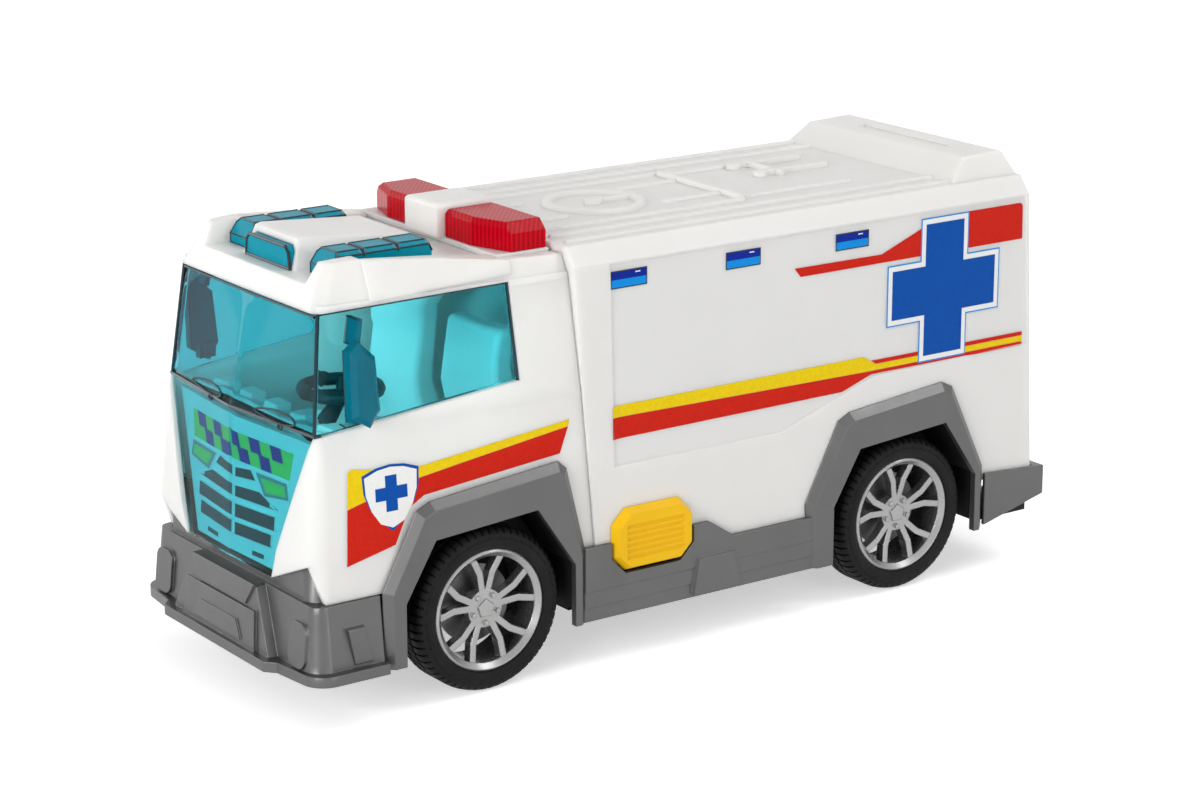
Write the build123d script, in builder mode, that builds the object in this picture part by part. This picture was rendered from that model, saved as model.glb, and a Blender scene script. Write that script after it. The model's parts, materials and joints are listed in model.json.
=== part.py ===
from build123d import *
import os
from collections import namedtuple

# Toy ambulance, in millimetres.
# X runs forward, Y to the toy's left and Z up. The origin is under the middle of the toy, on the floor.

# Overall layout
FRONT_OVERHANG = 63.0       # front axle to the tip of the bumper's lip
WHEELBASE = 150.0
REAR_OVERHANG = 57.0        # rear axle to the back of the rear bumper
SIDE_Y = 45.2               # half-width over the white box
FIT_GAP = 0.15              # between mouldings that are screwed or snapped together
RUN_GAP = 0.05              # radial gap of an axle in its bearing
PRESS_GAP = 0.02            # radial gap of a wheel on its axle
WALL = 2.0                  # white shells
PAST = 30.0                 # how far a cutting form runs on past what it cuts
LENGTH = FRONT_OVERHANG + WHEELBASE + REAR_OVERHANG
FRONT_X = LENGTH / 2
REAR_X = -LENGTH / 2
FRONT_AXLE_X = FRONT_X - FRONT_OVERHANG
REAR_AXLE_X = FRONT_AXLE_X - WHEELBASE
AXLES = {"front": FRONT_AXLE_X, "rear": REAR_AXLE_X}
SIDES = {"left": 1, "right": -1}

# Wheels
TYRE_R = 23.8
TYRE_WIDTH = 15.0
TYRE_SHOULDER = 2.4         # radius of the tread's rounded edges
RIM_R = 17.8
RIM_WALL = 1.5
RIM_LIP = 1.4               # the spokes' outer ends lie this far behind the rim's face
WHEEL_FACE_Y = SIDE_Y + 0.4
AXLE_R = 1.5
HUB_R = 5.6
SPOKE_PAIRS = 5
SPOKE_WIDTH = 1.9
SPOKE_ROOT_ANGLE = 10.0     # degrees from a pair's middle to each of its spokes, at the hub
SPOKE_TIP_ANGLE = 18.0      # the same at the rim
SPOKE_DEPTH = 3.0
DISH_DEPTH = 2.8            # how far the hub lies behind the rim's face
LUG_CIRCLE_R = 4.2
LUG_R = 0.8
LUG_HEIGHT = 0.8
CAP_R = 2.9                 # five-sided cap in the middle
CAP_HEIGHT = 0.6
DISC_R = 11.4
DISC_THICKNESS = 1.4
DISC_SETBACK = 8.5          # disc behind the rim's face

# Heights, each built on the one below
SKIRT_BOTTOM = 13.9
SKIRT_HEIGHT = 22.1
SKIRT_LOW_HEIGHT = 16.3
BUMPER_HEIGHT = 21.5
CHEEK_HEIGHT = 12.0
BELT_HEIGHT = 33.8          # cheek to the foot of the windscreen
WINDOW_HEIGHT = 35.0
VISOR_DROP = 2.1            # front of the roof below the top of the side windows
PAN_HEIGHT = 4.1            # sunken middle of the cab roof above the side windows
BOX_RISE = 15.1             # box above the skirt's bottom edge
BOX_HEIGHT = 94.0
BUMPER_TOP = SKIRT_BOTTOM + BUMPER_HEIGHT
SILL_Z = BUMPER_TOP + FIT_GAP
CHEEK_Z = SILL_Z + CHEEK_HEIGHT
BELT_Z = CHEEK_Z + BELT_HEIGHT
EAVE_Z = BELT_Z + WINDOW_HEIGHT
VISOR_Z = EAVE_Z - VISOR_DROP
PAN_Z = EAVE_Z + PAN_HEIGHT
BOX_BOTTOM = SKIRT_BOTTOM + BOX_RISE
BOX_ROOF_Z = BOX_BOTTOM + BOX_HEIGHT

# Cab: sections at four heights. Columns that end in _in lie inside the box's side, in _back behind the nose.
NOSE_SETBACK = 5.6          # nose of the cab behind the bumper's lip
NOSE_X = FRONT_X - NOSE_SETBACK
Section = namedtuple("Section", "z rear_in corner_back corner_in middle_back radius")
CAB_SECTIONS = (
    Section(z=SILL_Z, rear_in=0.7, corner_back=0.5, corner_in=0.9, middle_back=0.2, radius=7.0),
    Section(z=CHEEK_Z, rear_in=0.7, corner_back=0.2, corner_in=0.9, middle_back=0.0, radius=7.0),
    Section(z=BELT_Z, rear_in=0.9, corner_back=4.8, corner_in=3.8, middle_back=2.2, radius=3.0),
    Section(z=EAVE_Z, rear_in=2.8, corner_back=9.0, corner_in=7.2, middle_back=8.6, radius=3.0),
)
CEILING = Section(z=PAN_Z - WALL, rear_in=4.4, corner_back=12.0, corner_in=9.5, middle_back=11.8, radius=3.0)
RAIL_TOP = 6.8              # highest point of the roof's rails above its sunken middle
ROOF_SECTIONS = (
    Section(z=VISOR_Z, rear_in=2.6, corner_back=7.6, corner_in=6.9, middle_back=7.3, radius=4.0),
    Section(z=PAN_Z + RAIL_TOP, rear_in=7.2, corner_back=14.8, corner_in=11.8, middle_back=14.6, radius=4.0),
)
GLASS = 1.6
GLASS_SECTIONS = (
    Section(z=BELT_Z, rear_in=2.0, corner_back=5.5, corner_in=5.2, middle_back=2.1, radius=0.0),
    Section(z=EAVE_Z, rear_in=3.8, corner_back=9.4, corner_in=8.4, middle_back=9.2, radius=0.0),
)
GRILLE_FOOT_BACK = 0.7      # glazing's lower edge behind the nose
GRILLE_FOOT_IN = 21.5       # and in from the box's side
GRILLE_FOOT_RISE = 3.3      # above the cab's sill
GRILLE_CUT_DEPTH = 14.0     # depth of the grille's opening behind the nose
GRILLE_BOW = 0.4            # middle ridge ahead of the corners, at the foot
GRILLE_FOOT_Z = SILL_Z + GRILLE_FOOT_RISE
GRILLE_FOOT_Y = SIDE_Y - GRILLE_FOOT_IN
GRILLE_HEAD_Y = SIDE_Y - GLASS_SECTIONS[0].corner_in

# Box
BOX_FRONT_TOP = -28.0       # box front, from the front axle, at the roof and at the bottom edge
BOX_FRONT_FOOT = -36.6
BOX_REAR_TOP = 9.6          # box rear, from the toy's rear end, at the roof and at the bottom edge
BOX_REAR_FOOT = 4.6
BOX_SHOULDER_DROP = 5.2     # where the side starts to turn in, below the roof
BOX_ROOF_IN = 3.8

# Wheel arches, from the wheel's centre: columns are forward and up, ends low at the skirt's bottom edge
ARCH_FRONT = TYRE_R + 4.8
ARCH_REAR = TYRE_R + 3.8
ARCH_OPENING = (
    (ARCH_FRONT, SKIRT_BOTTOM - TYRE_R), (ARCH_FRONT, 8.2), (TYRE_R - 5.0, TYRE_R + 0.9),
    (9.0 - TYRE_R, TYRE_R + 3.4), (0.1 - ARCH_REAR, 8.7), (-ARCH_REAR, SKIRT_BOTTOM - TYRE_R))
FLARES = {
    "front": ((34.8, SKIRT_BOTTOM - TYRE_R), (35.1, 12.2), (23.9, 33.5), (19.6, 35.6),
              (-23.0, 39.6), (-25.9, 37.0), (-32.3, 11.5), (-32.3, SKIRT_BOTTOM - TYRE_R)),
    "rear": ((36.6, SKIRT_BOTTOM - TYRE_R), (38.2, 10.5), (26.1, 34.1), (21.8, 36.2),
             (-14.4, 39.8), (-18.8, 37.7), (-32.2, 10.0), (-32.3, SKIRT_BOTTOM - TYRE_R)),
}
LINER_WALL = 1.2
LINER_GAP = 0.4             # liner outside the flare's opening
LINER_CLEARANCE = 1.2       # liner's back wall inside the tyre
LINER_INNER_Y = WHEEL_FACE_Y - TYRE_WIDTH - LINER_CLEARANCE - LINER_WALL
ARCH_CUT = LINER_GAP + LINER_WALL + 0.4


def ahead(distance):
    """X of a point that lies this far ahead of the front axle."""
    return FRONT_AXLE_X + distance


def nose(distance):
    """X of a point that lies this far behind the cab's nose."""
    return NOSE_X - distance


def wound(points, way):
    """The outline in counter-clockwise order, or clockwise if the way is negative."""
    pairs = zip(points, points[1:] + points[:1])
    area = sum(a[0] * b[1] - b[0] * a[1] for a, b in pairs)
    return points if area * way > 0 else points[::-1]


def side_prism(points, y_from, y_to, grow=0.0, draft=0.0):
    """Prism of a side-view outline, in X and Z, from one Y to another."""
    with BuildPart() as prism:
        with BuildSketch(Plane.XZ.offset(-y_from)):
            with BuildLine():
                Polyline(*wound(tuple(points), y_from - y_to), close=True)
            make_face()
            if grow:
                offset(amount=grow, kind=Kind.INTERSECTION)
        extrude(amount=y_to - y_from, dir=(0, 1, 0), taper=draft)
    return prism.part


def across(points, grow=0.0):
    """Prism of a side-view outline that runs on past both sides of the toy."""
    return side_prism(points, -SIDE_Y - PAST, SIDE_Y + PAST, grow)


def plan_prism(points, z_from, z_to, draft=0.0, radius=0.0, rounded=None):
    """Prism of a plan outline, in X and Y, from one Z to another, with the chosen corners rounded."""
    with BuildPart() as prism:
        with BuildSketch(Plane.XY.offset(z_from)) as outline:
            with BuildLine():
                Polyline(*wound(tuple(points), z_to - z_from), close=True)
            make_face()
            if radius:
                fillet(outline.vertices().filter_by(rounded), radius)
        extrude(amount=z_to - z_from, dir=(0, 0, 1), taper=draft)
    return prism.part


def front_prism(points, x_from, x_to, grow=0.0, draft=0.0):
    """Prism of a front-view outline, in Y and Z, from one X to another."""
    with BuildPart() as prism:
        with BuildSketch(Plane.YZ.offset(x_from)):
            with BuildLine():
                Polyline(*wound(tuple(points), x_to - x_from), close=True)
            make_face()
            if grow:
                offset(amount=grow, kind=Kind.INTERSECTION)
        extrude(amount=x_to - x_from, dir=(1, 0, 0), taper=draft)
    return prism.part


def both_sides(points):
    """Outline closed over the middle plane from its left half: points with Y first."""
    return tuple(points) + tuple((-y, other) for y, other in reversed(points))


def both_sides_plan(points):
    """Outline closed over the middle plane from its left half: points with X first."""
    return tuple(points) + tuple((x, -y) for x, y in reversed(points))


def slab(x_from, x_to, half_y, z_from, z_to, draft=0.0):
    """Block that lies over the middle plane."""
    return plan_prism(both_sides_plan(((x_from, half_y), (x_to, half_y))), z_from, z_to, draft)


def arch(points, axle_x):
    """Outline round a wheel's centre, moved to its axle."""
    return tuple((axle_x + forward, TYRE_R + up) for forward, up in points)


def box_front_at(z):
    """Distance of the box's sloping front from the front axle at this height."""
    slope = (BOX_FRONT_TOP - BOX_FRONT_FOOT) / BOX_HEIGHT
    return BOX_FRONT_FOOT + slope * (z - BOX_BOTTOM)


def section_form(sections, inset=0.0, open_rear=0.0, low=0.0):
    """Solid lofted through the sections, drawn in by the inset, run on at the rear and at its foot."""
    with BuildPart() as form:
        for index, row in enumerate(sections):
            z = row.z - low if index == 0 else row.z
            rear_x = ahead(box_front_at(z)) + FIT_GAP - open_rear
            rear_y = SIDE_Y - row.rear_in - inset
            corner_x = nose(row.corner_back) - inset
            corner_y = SIDE_Y - row.corner_in - inset
            with BuildSketch(Plane.XY.offset(z)) as outline:
                with BuildLine():
                    Polyline((rear_x, rear_y), (corner_x, corner_y), (nose(row.middle_back) - inset, 0),
                             (corner_x, -corner_y), (rear_x, -rear_y), close=True)
                make_face()
                if row.radius > inset:
                    front = outline.vertices().filter_by(lambda v: v.X > FRONT_AXLE_X and abs(v.Y) > WALL)
                    fillet(front, row.radius - inset)
        loft(ruled=True)
    return form.part


os.makedirs("parts", exist_ok=True)


def save(builder, name):
    builder.part.label = name
    export_step(builder.part, "parts/" + name + ".step")


# Tyres, rims and brake discs: one of each for every corner of the toy
SIDEWALL = TYRE_R - RIM_R
hub_back = DISH_DEPTH + SPOKE_DEPTH
for end, axle_x in AXLES.items():
    for side, sign in SIDES.items():
        # The wheel's own plane: its normal points out of the toy along the axle
        face = Plane(origin=(axle_x, sign * WHEEL_FACE_Y, TYRE_R), x_dir=(1, 0, 0), z_dir=(0, sign, 0))
        # Half-section plane through the axle: local x is the radius, local y points out of the toy
        half = Plane(origin=face.origin, x_dir=(1, 0, 0), z_dir=(0, 0, sign))
        spin = Axis(face.origin, face.z_dir)

        # Tyre: bead, bulging sidewall, step below the shoulder and bevelled tread edges
        with BuildPart() as tyre:
            with BuildSketch(half) as tyre_section:
                with BuildLine():
                    Polyline(
                        (RIM_R, -RIM_LIP), (RIM_R, -0.1 * SIDEWALL),
                        (RIM_R + 0.25 * SIDEWALL, 0.05 * SIDEWALL), (RIM_R + 0.55 * SIDEWALL, 0.0),
                        (RIM_R + 0.6 * SIDEWALL, -0.08 * SIDEWALL),
                        (TYRE_R, -0.25 * SIDEWALL), (TYRE_R, 0.25 * SIDEWALL - TYRE_WIDTH),
                        (RIM_R + 0.6 * SIDEWALL, -TYRE_WIDTH), (RIM_R, -TYRE_WIDTH), close=True)
                make_face()
                tread_edges = tyre_section.vertices().group_by(Axis.X)[-1]
                chamfer(tread_edges, TYRE_SHOULDER)
            revolve(axis=spin)
        save(tyre, f"tyre_{end}_{side}")

        with BuildPart() as rim:
            # Dished band that the spokes are cut from
            with BuildSketch(half):
                with BuildLine():
                    Polyline(
                        (AXLE_R + PRESS_GAP, -DISH_DEPTH), (HUB_R, -DISH_DEPTH),
                        (RIM_R - RIM_WALL / 2, -RIM_LIP), (RIM_R - RIM_WALL / 2, -RIM_LIP - SPOKE_DEPTH),
                        (HUB_R, -hub_back),
                        (AXLE_R + PRESS_GAP, -hub_back), close=True)
                make_face()
            revolve(axis=spin)
            # Bent spokes in pairs that part on their way from the hub to the rim
            with BuildSketch(face.offset(-hub_back - 1)):
                Circle(HUB_R)
                for pair in range(SPOKE_PAIRS):
                    middle = 90 + 360 / SPOKE_PAIRS * (pair + 0.5)
                    for way in (-1, 1):
                        root = Vector(LUG_CIRCLE_R, 0).rotate(Axis.Z, middle + way * SPOKE_ROOT_ANGLE)
                        bend = Vector(RIM_R * 0.6, 0).rotate(Axis.Z, middle + way * SPOKE_TIP_ANGLE * 0.62)
                        tip = Vector(RIM_R - RIM_WALL / 4, 0).rotate(Axis.Z, middle + way * SPOKE_TIP_ANGLE)
                        with BuildLine() as spine:
                            Polyline(root, bend, tip)
                        trace(spine.line, SPOKE_WIDTH)
            extrude(amount=hub_back + 2, mode=Mode.INTERSECT)
            # Barrel with a bevelled outer lip
            with BuildSketch(half):
                with BuildLine():
                    Polyline(
                        (RIM_R - 0.5 * RIM_WALL, 0.0), (RIM_R, -0.1 * SIDEWALL), (RIM_R, -TYRE_WIDTH),
                        (RIM_R - RIM_WALL, -TYRE_WIDTH), (RIM_R - 1.3 * RIM_WALL, -RIM_LIP - SPOKE_DEPTH),
                        (RIM_R - 1.5 * RIM_WALL, -RIM_LIP), close=True)
                make_face()
            revolve(axis=spin)
            # Boss that carries the brake disc, wheel nuts, cap and the axle's bore
            with BuildSketch(face.offset(-DISC_SETBACK)):
                Circle(0.8 * HUB_R)
            extrude(amount=DISC_SETBACK - DISH_DEPTH)
            with BuildSketch(face.offset(-DISH_DEPTH)):
                with PolarLocations(LUG_CIRCLE_R, SPOKE_PAIRS, start_angle=90):
                    RegularPolygon(radius=LUG_R, side_count=6)
            extrude(amount=LUG_HEIGHT)
            with BuildSketch(face.offset(-DISH_DEPTH)):
                RegularPolygon(radius=CAP_R, side_count=SPOKE_PAIRS, rotation=90 + 180 / SPOKE_PAIRS)
            extrude(amount=CAP_HEIGHT, taper=10)
            with BuildSketch(face.offset(-DISC_SETBACK - 1)):
                Circle(AXLE_R + PRESS_GAP)
            extrude(amount=DISC_SETBACK - DISH_DEPTH, mode=Mode.SUBTRACT)
        save(rim, f"rim_{end}_{side}")

        with BuildPart() as brake_disc:
            with BuildSketch(face.offset(-DISC_SETBACK - PRESS_GAP - DISC_THICKNESS)):
                Circle(DISC_R)
                Circle(AXLE_R + PRESS_GAP, mode=Mode.SUBTRACT)
            extrude(amount=DISC_THICKNESS)
        save(brake_disc, f"brake_disc_{end}_{side}")

# Axles: plain steel rods that carry a wheel at each end
AXLE_END_GAP = 1.5          # end of the rod behind the front of the hub
axle_end_y = WHEEL_FACE_Y - DISH_DEPTH - AXLE_END_GAP
for end, axle_x in AXLES.items():
    with BuildPart() as axle:
        with BuildSketch(Plane.XZ.offset(-axle_end_y)):
            with Locations((axle_x, TYRE_R)):
                Circle(AXLE_R)
        extrude(amount=2 * axle_end_y)
    save(axle, f"{end}_axle")

# Cab roof: rails and corner blocks round a sunken middle that is open at the front
RAIL_PROUD = 0.7            # rails outside the corner blocks
RAIL_FRONT = 24.4           # step between a rail and its corner block, behind the nose
RAIL_REAR = 68.4
RAIL_FOOT = 1.4             # rail's lower edge above the side window
# Rail's upper line: behind the nose, above the pan
RAIL_PROFILE = ((14.0, 5.9), (23.4, 6.2), (45.4, 4.1), (68.4, 1.0), (100.0, 0.4))
PAN_IN = 13.4               # sunken middle inside the box's side
PAN_FRONT_IN = 17.4         # the same between the corner blocks
PAN_LEAN = 2.0              # rails' inner sides lean out by this at their top
STEP_BORDER = 0.5           # step under the beacons, outside them
BEACON_FRONT = -10.0        # from the front axle
BEACON_LENGTH = 16.2
BEACON_IN_Y = 8.6
BEACON_OUT = 9.8            # inside the box's side
BEACON_CORNER_BACK = 4.6
BEACON_CORNER_Y = 22.0
BEACON_STEP = 1.7           # step under the beacons above the sunken roof
BEACON_HEIGHT = 8.0
BEACON_EDGE = 1.3           # bevel round the top
BEACON_SLOPE = 3.0          # larger bevel at the outer end
step_z = PAN_Z + BEACON_STEP
beacon_out_y = SIDE_Y - BEACON_OUT
beacon_front_x = ahead(BEACON_FRONT)
beacon_rear_x = beacon_front_x - BEACON_LENGTH
pan_y = SIDE_Y - PAN_IN
pan_front_y = SIDE_Y - PAN_FRONT_IN
rail_top_z = PAN_Z + RAIL_TOP
roof_form = section_form(ROOF_SECTIONS)
rail_form = section_form([row._replace(rear_in=row.rear_in - RAIL_PROUD, corner_in=row.corner_in - RAIL_PROUD)
                          for row in ROOF_SECTIONS])
rail_region = across(((nose(RAIL_FRONT), EAVE_Z + RAIL_FOOT - VISOR_DROP), (nose(RAIL_FRONT), rail_top_z),
                      (nose(RAIL_REAR), rail_top_z), (nose(RAIL_REAR), EAVE_Z + RAIL_FOOT)))
rail_line = tuple((nose(back), PAN_Z + up) for back, up in RAIL_PROFILE)
rail_cut = across(rail_line + ((rail_line[-1][0], rail_top_z + PAST), (NOSE_X, rail_top_z + PAST),
                               (NOSE_X, rail_line[0][1])))
pan_cuts = [
    front_prism(both_sides(((half_y, PAN_Z), (half_y + PAN_LEAN, rail_top_z + 1))), x_from, x_to)
    for half_y, x_from, x_to in (
        (pan_y, ahead(BOX_FRONT_TOP) - PAST, nose(RAIL_FRONT)),
        (pan_front_y, nose(RAIL_FRONT) - 1, NOSE_X),
        (beacon_out_y + STEP_BORDER + FIT_GAP, ahead(BOX_FRONT_TOP) - PAST, beacon_front_x + 1),
    )
]
with BuildPart() as roof:
    add(rail_form)
    add(rail_region, mode=Mode.INTERSECT)
    add(roof_form)
    add(rail_cut, mode=Mode.SUBTRACT)
    for cut in pan_cuts:
        add(cut, mode=Mode.SUBTRACT)

# Scoop on the cab roof: a low hood with a tinted window in its front, between the lamp bars
LAMP_GAP = 4.6              # lamp bar inside the rail
LAMP_WIDTH = 10.0
SCOOP_FRONT = 15.4          # behind the nose
SCOOP_LENGTH = 40.0
SCOOP_GAP = 0.4             # hood's widest point inside the lamp bars
SCOOP_TAPER = 2.4           # hood's front narrower than its rear, at each side
SCOOP_HEIGHT = 8.6
SCOOP_REAR_DROP = 3.4
SCOOP_CREST = 4.6           # highest point behind the hood's front
SCOOP_WALL = 2.2
SCOOP_DRAFT = 18.0          # degrees
SCOOP_WINDOW_LENGTH = 5.6
SCOOP_WINDOW_CHAMFER = 1.6
lamp_out_y = pan_y - LAMP_GAP
lamp_in_y = lamp_out_y - LAMP_WIDTH
scoop_y = lamp_in_y - SCOOP_GAP
scoop_top = PAN_Z + SCOOP_HEIGHT
scoop_front_x = nose(SCOOP_FRONT)
scoop_rear_x = scoop_front_x - SCOOP_LENGTH
scoop_form = plan_prism(both_sides_plan(((scoop_rear_x, scoop_y), (scoop_front_x, scoop_y - SCOOP_TAPER))),
                        PAN_Z - WALL / 2, scoop_top + 1, draft=SCOOP_DRAFT)
scoop_cut = across(((scoop_front_x + 1, scoop_top - 1.6), (scoop_front_x - SCOOP_CREST, scoop_top),
                    (scoop_rear_x - 1, scoop_top - SCOOP_REAR_DROP), (scoop_rear_x - 1, scoop_top + PAST),
                    (scoop_front_x + 1, scoop_top + PAST)))
scoop_window_y = scoop_y - SCOOP_TAPER - SCOOP_WALL
scoop_window_top = scoop_top - SCOOP_WALL
scoop_window_outline = both_sides((
    (scoop_window_y, PAN_Z), (scoop_window_y - 0.6, scoop_window_top - SCOOP_WINDOW_CHAMFER),
    (scoop_window_y - 0.6 - SCOOP_WINDOW_CHAMFER, scoop_window_top)))
scoop_hole = front_prism(scoop_window_outline, scoop_front_x - SCOOP_WINDOW_LENGTH, scoop_front_x + 1)
scoop_pane = front_prism(scoop_window_outline, scoop_front_x - SCOOP_WINDOW_LENGTH + FIT_GAP, scoop_front_x,
                         grow=-FIT_GAP)

# Cab shell: hollow, with the windows, the grille, the wheel arches and the cheeks' lower edges cut
WINDOW_REAR_TOP = -9.8      # from the front axle
WINDOW_REAR_FOOT = -12.2
WINDOW_REAR_RISE = 6.5      # window's foot at its rear above its front
WINDOW_TOP_DROP = 0.5       # window's top at its rear below the eave
FLANK_FOOT_BACK = 5.6       # flank's lower front corner behind the nose
NOTCH_BACK = 1.7            # corner between flank and cheek, behind the nose
NOTCH_IN = 3.7              # inside the box's side
NOTCH_DROP = 1.2            # below the cheek line
arch_cuts = [across(arch(ARCH_OPENING, axle_x), grow=ARCH_CUT) for axle_x in AXLES.values()]
window_points = (
    (ahead(WINDOW_REAR_TOP), EAVE_Z - WINDOW_TOP_DROP),
    (ahead(WINDOW_REAR_FOOT), BELT_Z + WINDOW_REAR_RISE),
    (nose(GLASS_SECTIONS[0].corner_back), BELT_Z), (NOSE_X + PAST, BELT_Z),
    (NOSE_X + PAST, VISOR_Z + FIT_GAP), (nose(GLASS_SECTIONS[1].corner_back), VISOR_Z + FIT_GAP))
window_cut = across(window_points)
grille_outline = both_sides(((GRILLE_FOOT_Y, GRILLE_FOOT_Z), (GRILLE_HEAD_Y, BELT_Z)))
grille_cut = front_prism(grille_outline, nose(GRILLE_CUT_DEPTH), NOSE_X + PAST, grow=FIT_GAP)
notch_y = SIDE_Y - NOTCH_IN
notch_z = CHEEK_Z - NOTCH_DROP
cheek_cut = front_prism(
    both_sides(((notch_y, SKIRT_BOTTOM), (notch_y, notch_z), (GRILLE_FOOT_Y, GRILLE_FOOT_Z))),
    nose(FLANK_FOOT_BACK), NOSE_X + PAST)
flank_line = ((nose(FLANK_FOOT_BACK), SKIRT_BOTTOM), (nose(FLANK_FOOT_BACK), SILL_Z),
              (nose(NOTCH_BACK), notch_z), (NOSE_X + PAST, notch_z), (NOSE_X + PAST, SKIRT_BOTTOM))
flank_cuts = [side_prism(flank_line, sign * notch_y, sign * (SIDE_Y + PAST)) for sign in SIDES.values()]
cab_outer = section_form(CAB_SECTIONS)
cab_inner = section_form(CAB_SECTIONS + (CEILING,), inset=WALL, open_rear=PAST, low=PAST / 3)
with BuildPart() as cab_shell:
    add(cab_outer)
    add(roof.part)
    add(scoop_form)
    add(scoop_cut, mode=Mode.SUBTRACT)
    add(scoop_hole, mode=Mode.SUBTRACT)
    add(cab_inner, mode=Mode.SUBTRACT)
    add(window_cut, mode=Mode.SUBTRACT)
    add(grille_cut, mode=Mode.SUBTRACT)
    add(cheek_cut, mode=Mode.SUBTRACT)
    for cut in flank_cuts:
        add(cut, mode=Mode.SUBTRACT)
    add(arch_cuts[0], mode=Mode.SUBTRACT)
save(cab_shell, "cab_shell")

with BuildPart() as scoop_window:
    add(scoop_pane)
save(scoop_window, "scoop_window")

# Glazing: one tinted moulding round the front and both sides, with the grille panel below


def grille_form(foot_z, head_z, foot_in, head_in, front, back):
    """Panel that follows the cab's front from its foot to the windscreen, between two depths."""
    belt = GLASS_SECTIONS[0]
    rise = (head_z - GRILLE_FOOT_Z) / (BELT_Z - GRILLE_FOOT_Z)
    head_corner = GRILLE_FOOT_BACK + rise * (belt.corner_back - GRILLE_FOOT_BACK)
    head_middle = GRILLE_FOOT_BACK - GRILLE_BOW + rise * (belt.middle_back - GRILLE_FOOT_BACK + GRILLE_BOW)
    head_y = GRILLE_FOOT_Y + rise * (GRILLE_HEAD_Y - GRILLE_FOOT_Y)
    with BuildPart() as form:
        for z, corner, corner_y, middle in (
            (foot_z, GRILLE_FOOT_BACK, GRILLE_FOOT_Y - foot_in, GRILLE_FOOT_BACK - GRILLE_BOW),
            (head_z, head_corner, head_y - head_in, head_middle),
        ):
            with BuildSketch(Plane.XY.offset(z)):
                with BuildLine():
                    Polyline((nose(middle + front), 0), (nose(corner + front), corner_y),
                             (nose(corner + back), corner_y), (nose(middle + back), 0),
                             (nose(corner + back), -corner_y), (nose(corner + front), -corner_y), close=True)
                make_face()
        loft(ruled=True)
    return form.part


glass_outer = section_form(GLASS_SECTIONS)
glass_inner = section_form(GLASS_SECTIONS, inset=GLASS, open_rear=PAST)
window_fill = across(window_points, grow=-FIT_GAP)
grille_panel = grille_form(GRILLE_FOOT_Z, BELT_Z + 0.5, 0.0, 0.0, 0.0, GLASS)
with BuildPart() as glazing:
    add(glass_outer)
    add(glass_inner, mode=Mode.SUBTRACT)
    add(window_fill, mode=Mode.INTERSECT)
    add(grille_panel)
save(glazing, "glazing")

# Grille backing behind the glazing's lower panel: V-shaped slats and two lamp shapes stand up from it
BACKING_GAP = 0.9           # behind the glazing
BACKING = 1.6
BACKING_IN = 2.0            # inside the glazing's edge
BACKING_LIFT = 1.0          # above the glazing's foot
BACKING_DROP = 3.0          # below the windscreen
SLAT_PROUD = 0.5
SLAT_RISE = 0.9             # outer end of a slat above its inner end
SLAT_IN = 0.8               # inner end from the middle ridge
# Slats from the foot up: edges above the glazing's foot, and the edges' outer ends from the middle
Slat = namedtuple("Slat", "low high out_low out_high")
SLATS = (
    Slat(low=5.9, high=9.8, out_low=19.8, out_high=19.8),
    Slat(low=10.9, high=15.1, out_low=21.2, out_high=21.2),
    Slat(low=16.8, high=20.3, out_low=21.9, out_high=13.2),
    Slat(low=22.6, high=25.5, out_low=11.1, out_high=8.6),
)
LAMP_SHAPE = ((10.6, 26.4), (26.4, 26.6), (27.6, 21.8), (15.4, 20.2))    # from the middle, above the foot
backing_form = grille_form(GRILLE_FOOT_Z + BACKING_LIFT, BELT_Z - BACKING_DROP, BACKING_IN, BACKING_IN,
                           GLASS + BACKING_GAP, GLASS + BACKING_GAP + BACKING)
slat_layer = grille_form(GRILLE_FOOT_Z + BACKING_LIFT, BELT_Z - BACKING_DROP, BACKING_IN, BACKING_IN,
                         GLASS + BACKING_GAP - SLAT_PROUD, GLASS + BACKING_GAP + BACKING)
slat_outlines = [((SLAT_IN, slat.low), (slat.out_low, slat.low + SLAT_RISE),
                  (slat.out_high, slat.high + SLAT_RISE), (SLAT_IN, slat.high)) for slat in SLATS]
slat_cuts = []
for outline in slat_outlines + [LAMP_SHAPE]:
    for sign in SIDES.values():
        slat_cuts.append(front_prism([(sign * y, GRILLE_FOOT_Z + up) for y, up in outline],
                                     nose(GRILLE_CUT_DEPTH), NOSE_X))
with BuildPart() as slat_pattern:
    for cut in slat_cuts:
        add(cut)
    add(slat_layer, mode=Mode.INTERSECT)
with BuildPart() as grille_backing:
    add(backing_form)
    add(slat_pattern.part)
save(grille_backing, "grille_backing")

# Box shell: roof ribs, fan, pipes and spoiler above, a sunk panel on each side, double doors behind
box_side = ((ahead(BOX_FRONT_TOP), BOX_ROOF_Z), (ahead(BOX_FRONT_FOOT), BOX_BOTTOM),
            (REAR_X + BOX_REAR_FOOT, BOX_BOTTOM), (REAR_X + BOX_REAR_TOP, BOX_ROOF_Z))
box_end = both_sides(((SIDE_Y, BOX_BOTTOM), (SIDE_Y, BOX_ROOF_Z - BOX_SHOULDER_DROP),
                      (SIDE_Y - BOX_ROOF_IN, BOX_ROOF_Z)))


def box_form(inset, drop):
    """The box's outer form drawn in by the inset, its bottom lowered by the drop."""
    with BuildPart() as form:
        with BuildSketch(Plane.XZ):
            with BuildLine():
                Polyline(*box_side, close=True)
            make_face()
            if inset:
                offset(amount=-inset, kind=Kind.INTERSECTION)
        extrude(amount=SIDE_Y + PAST, both=True)
        with BuildSketch(Plane.YZ):
            with BuildLine():
                Polyline(*box_end, close=True)
            make_face()
            if inset:
                offset(amount=-inset, kind=Kind.INTERSECTION)
        extrude(amount=LENGTH, both=True, mode=Mode.INTERSECT)
        if drop:
            extrude(form.faces().sort_by(Axis.Z)[0], amount=drop)
    return form.part


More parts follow.
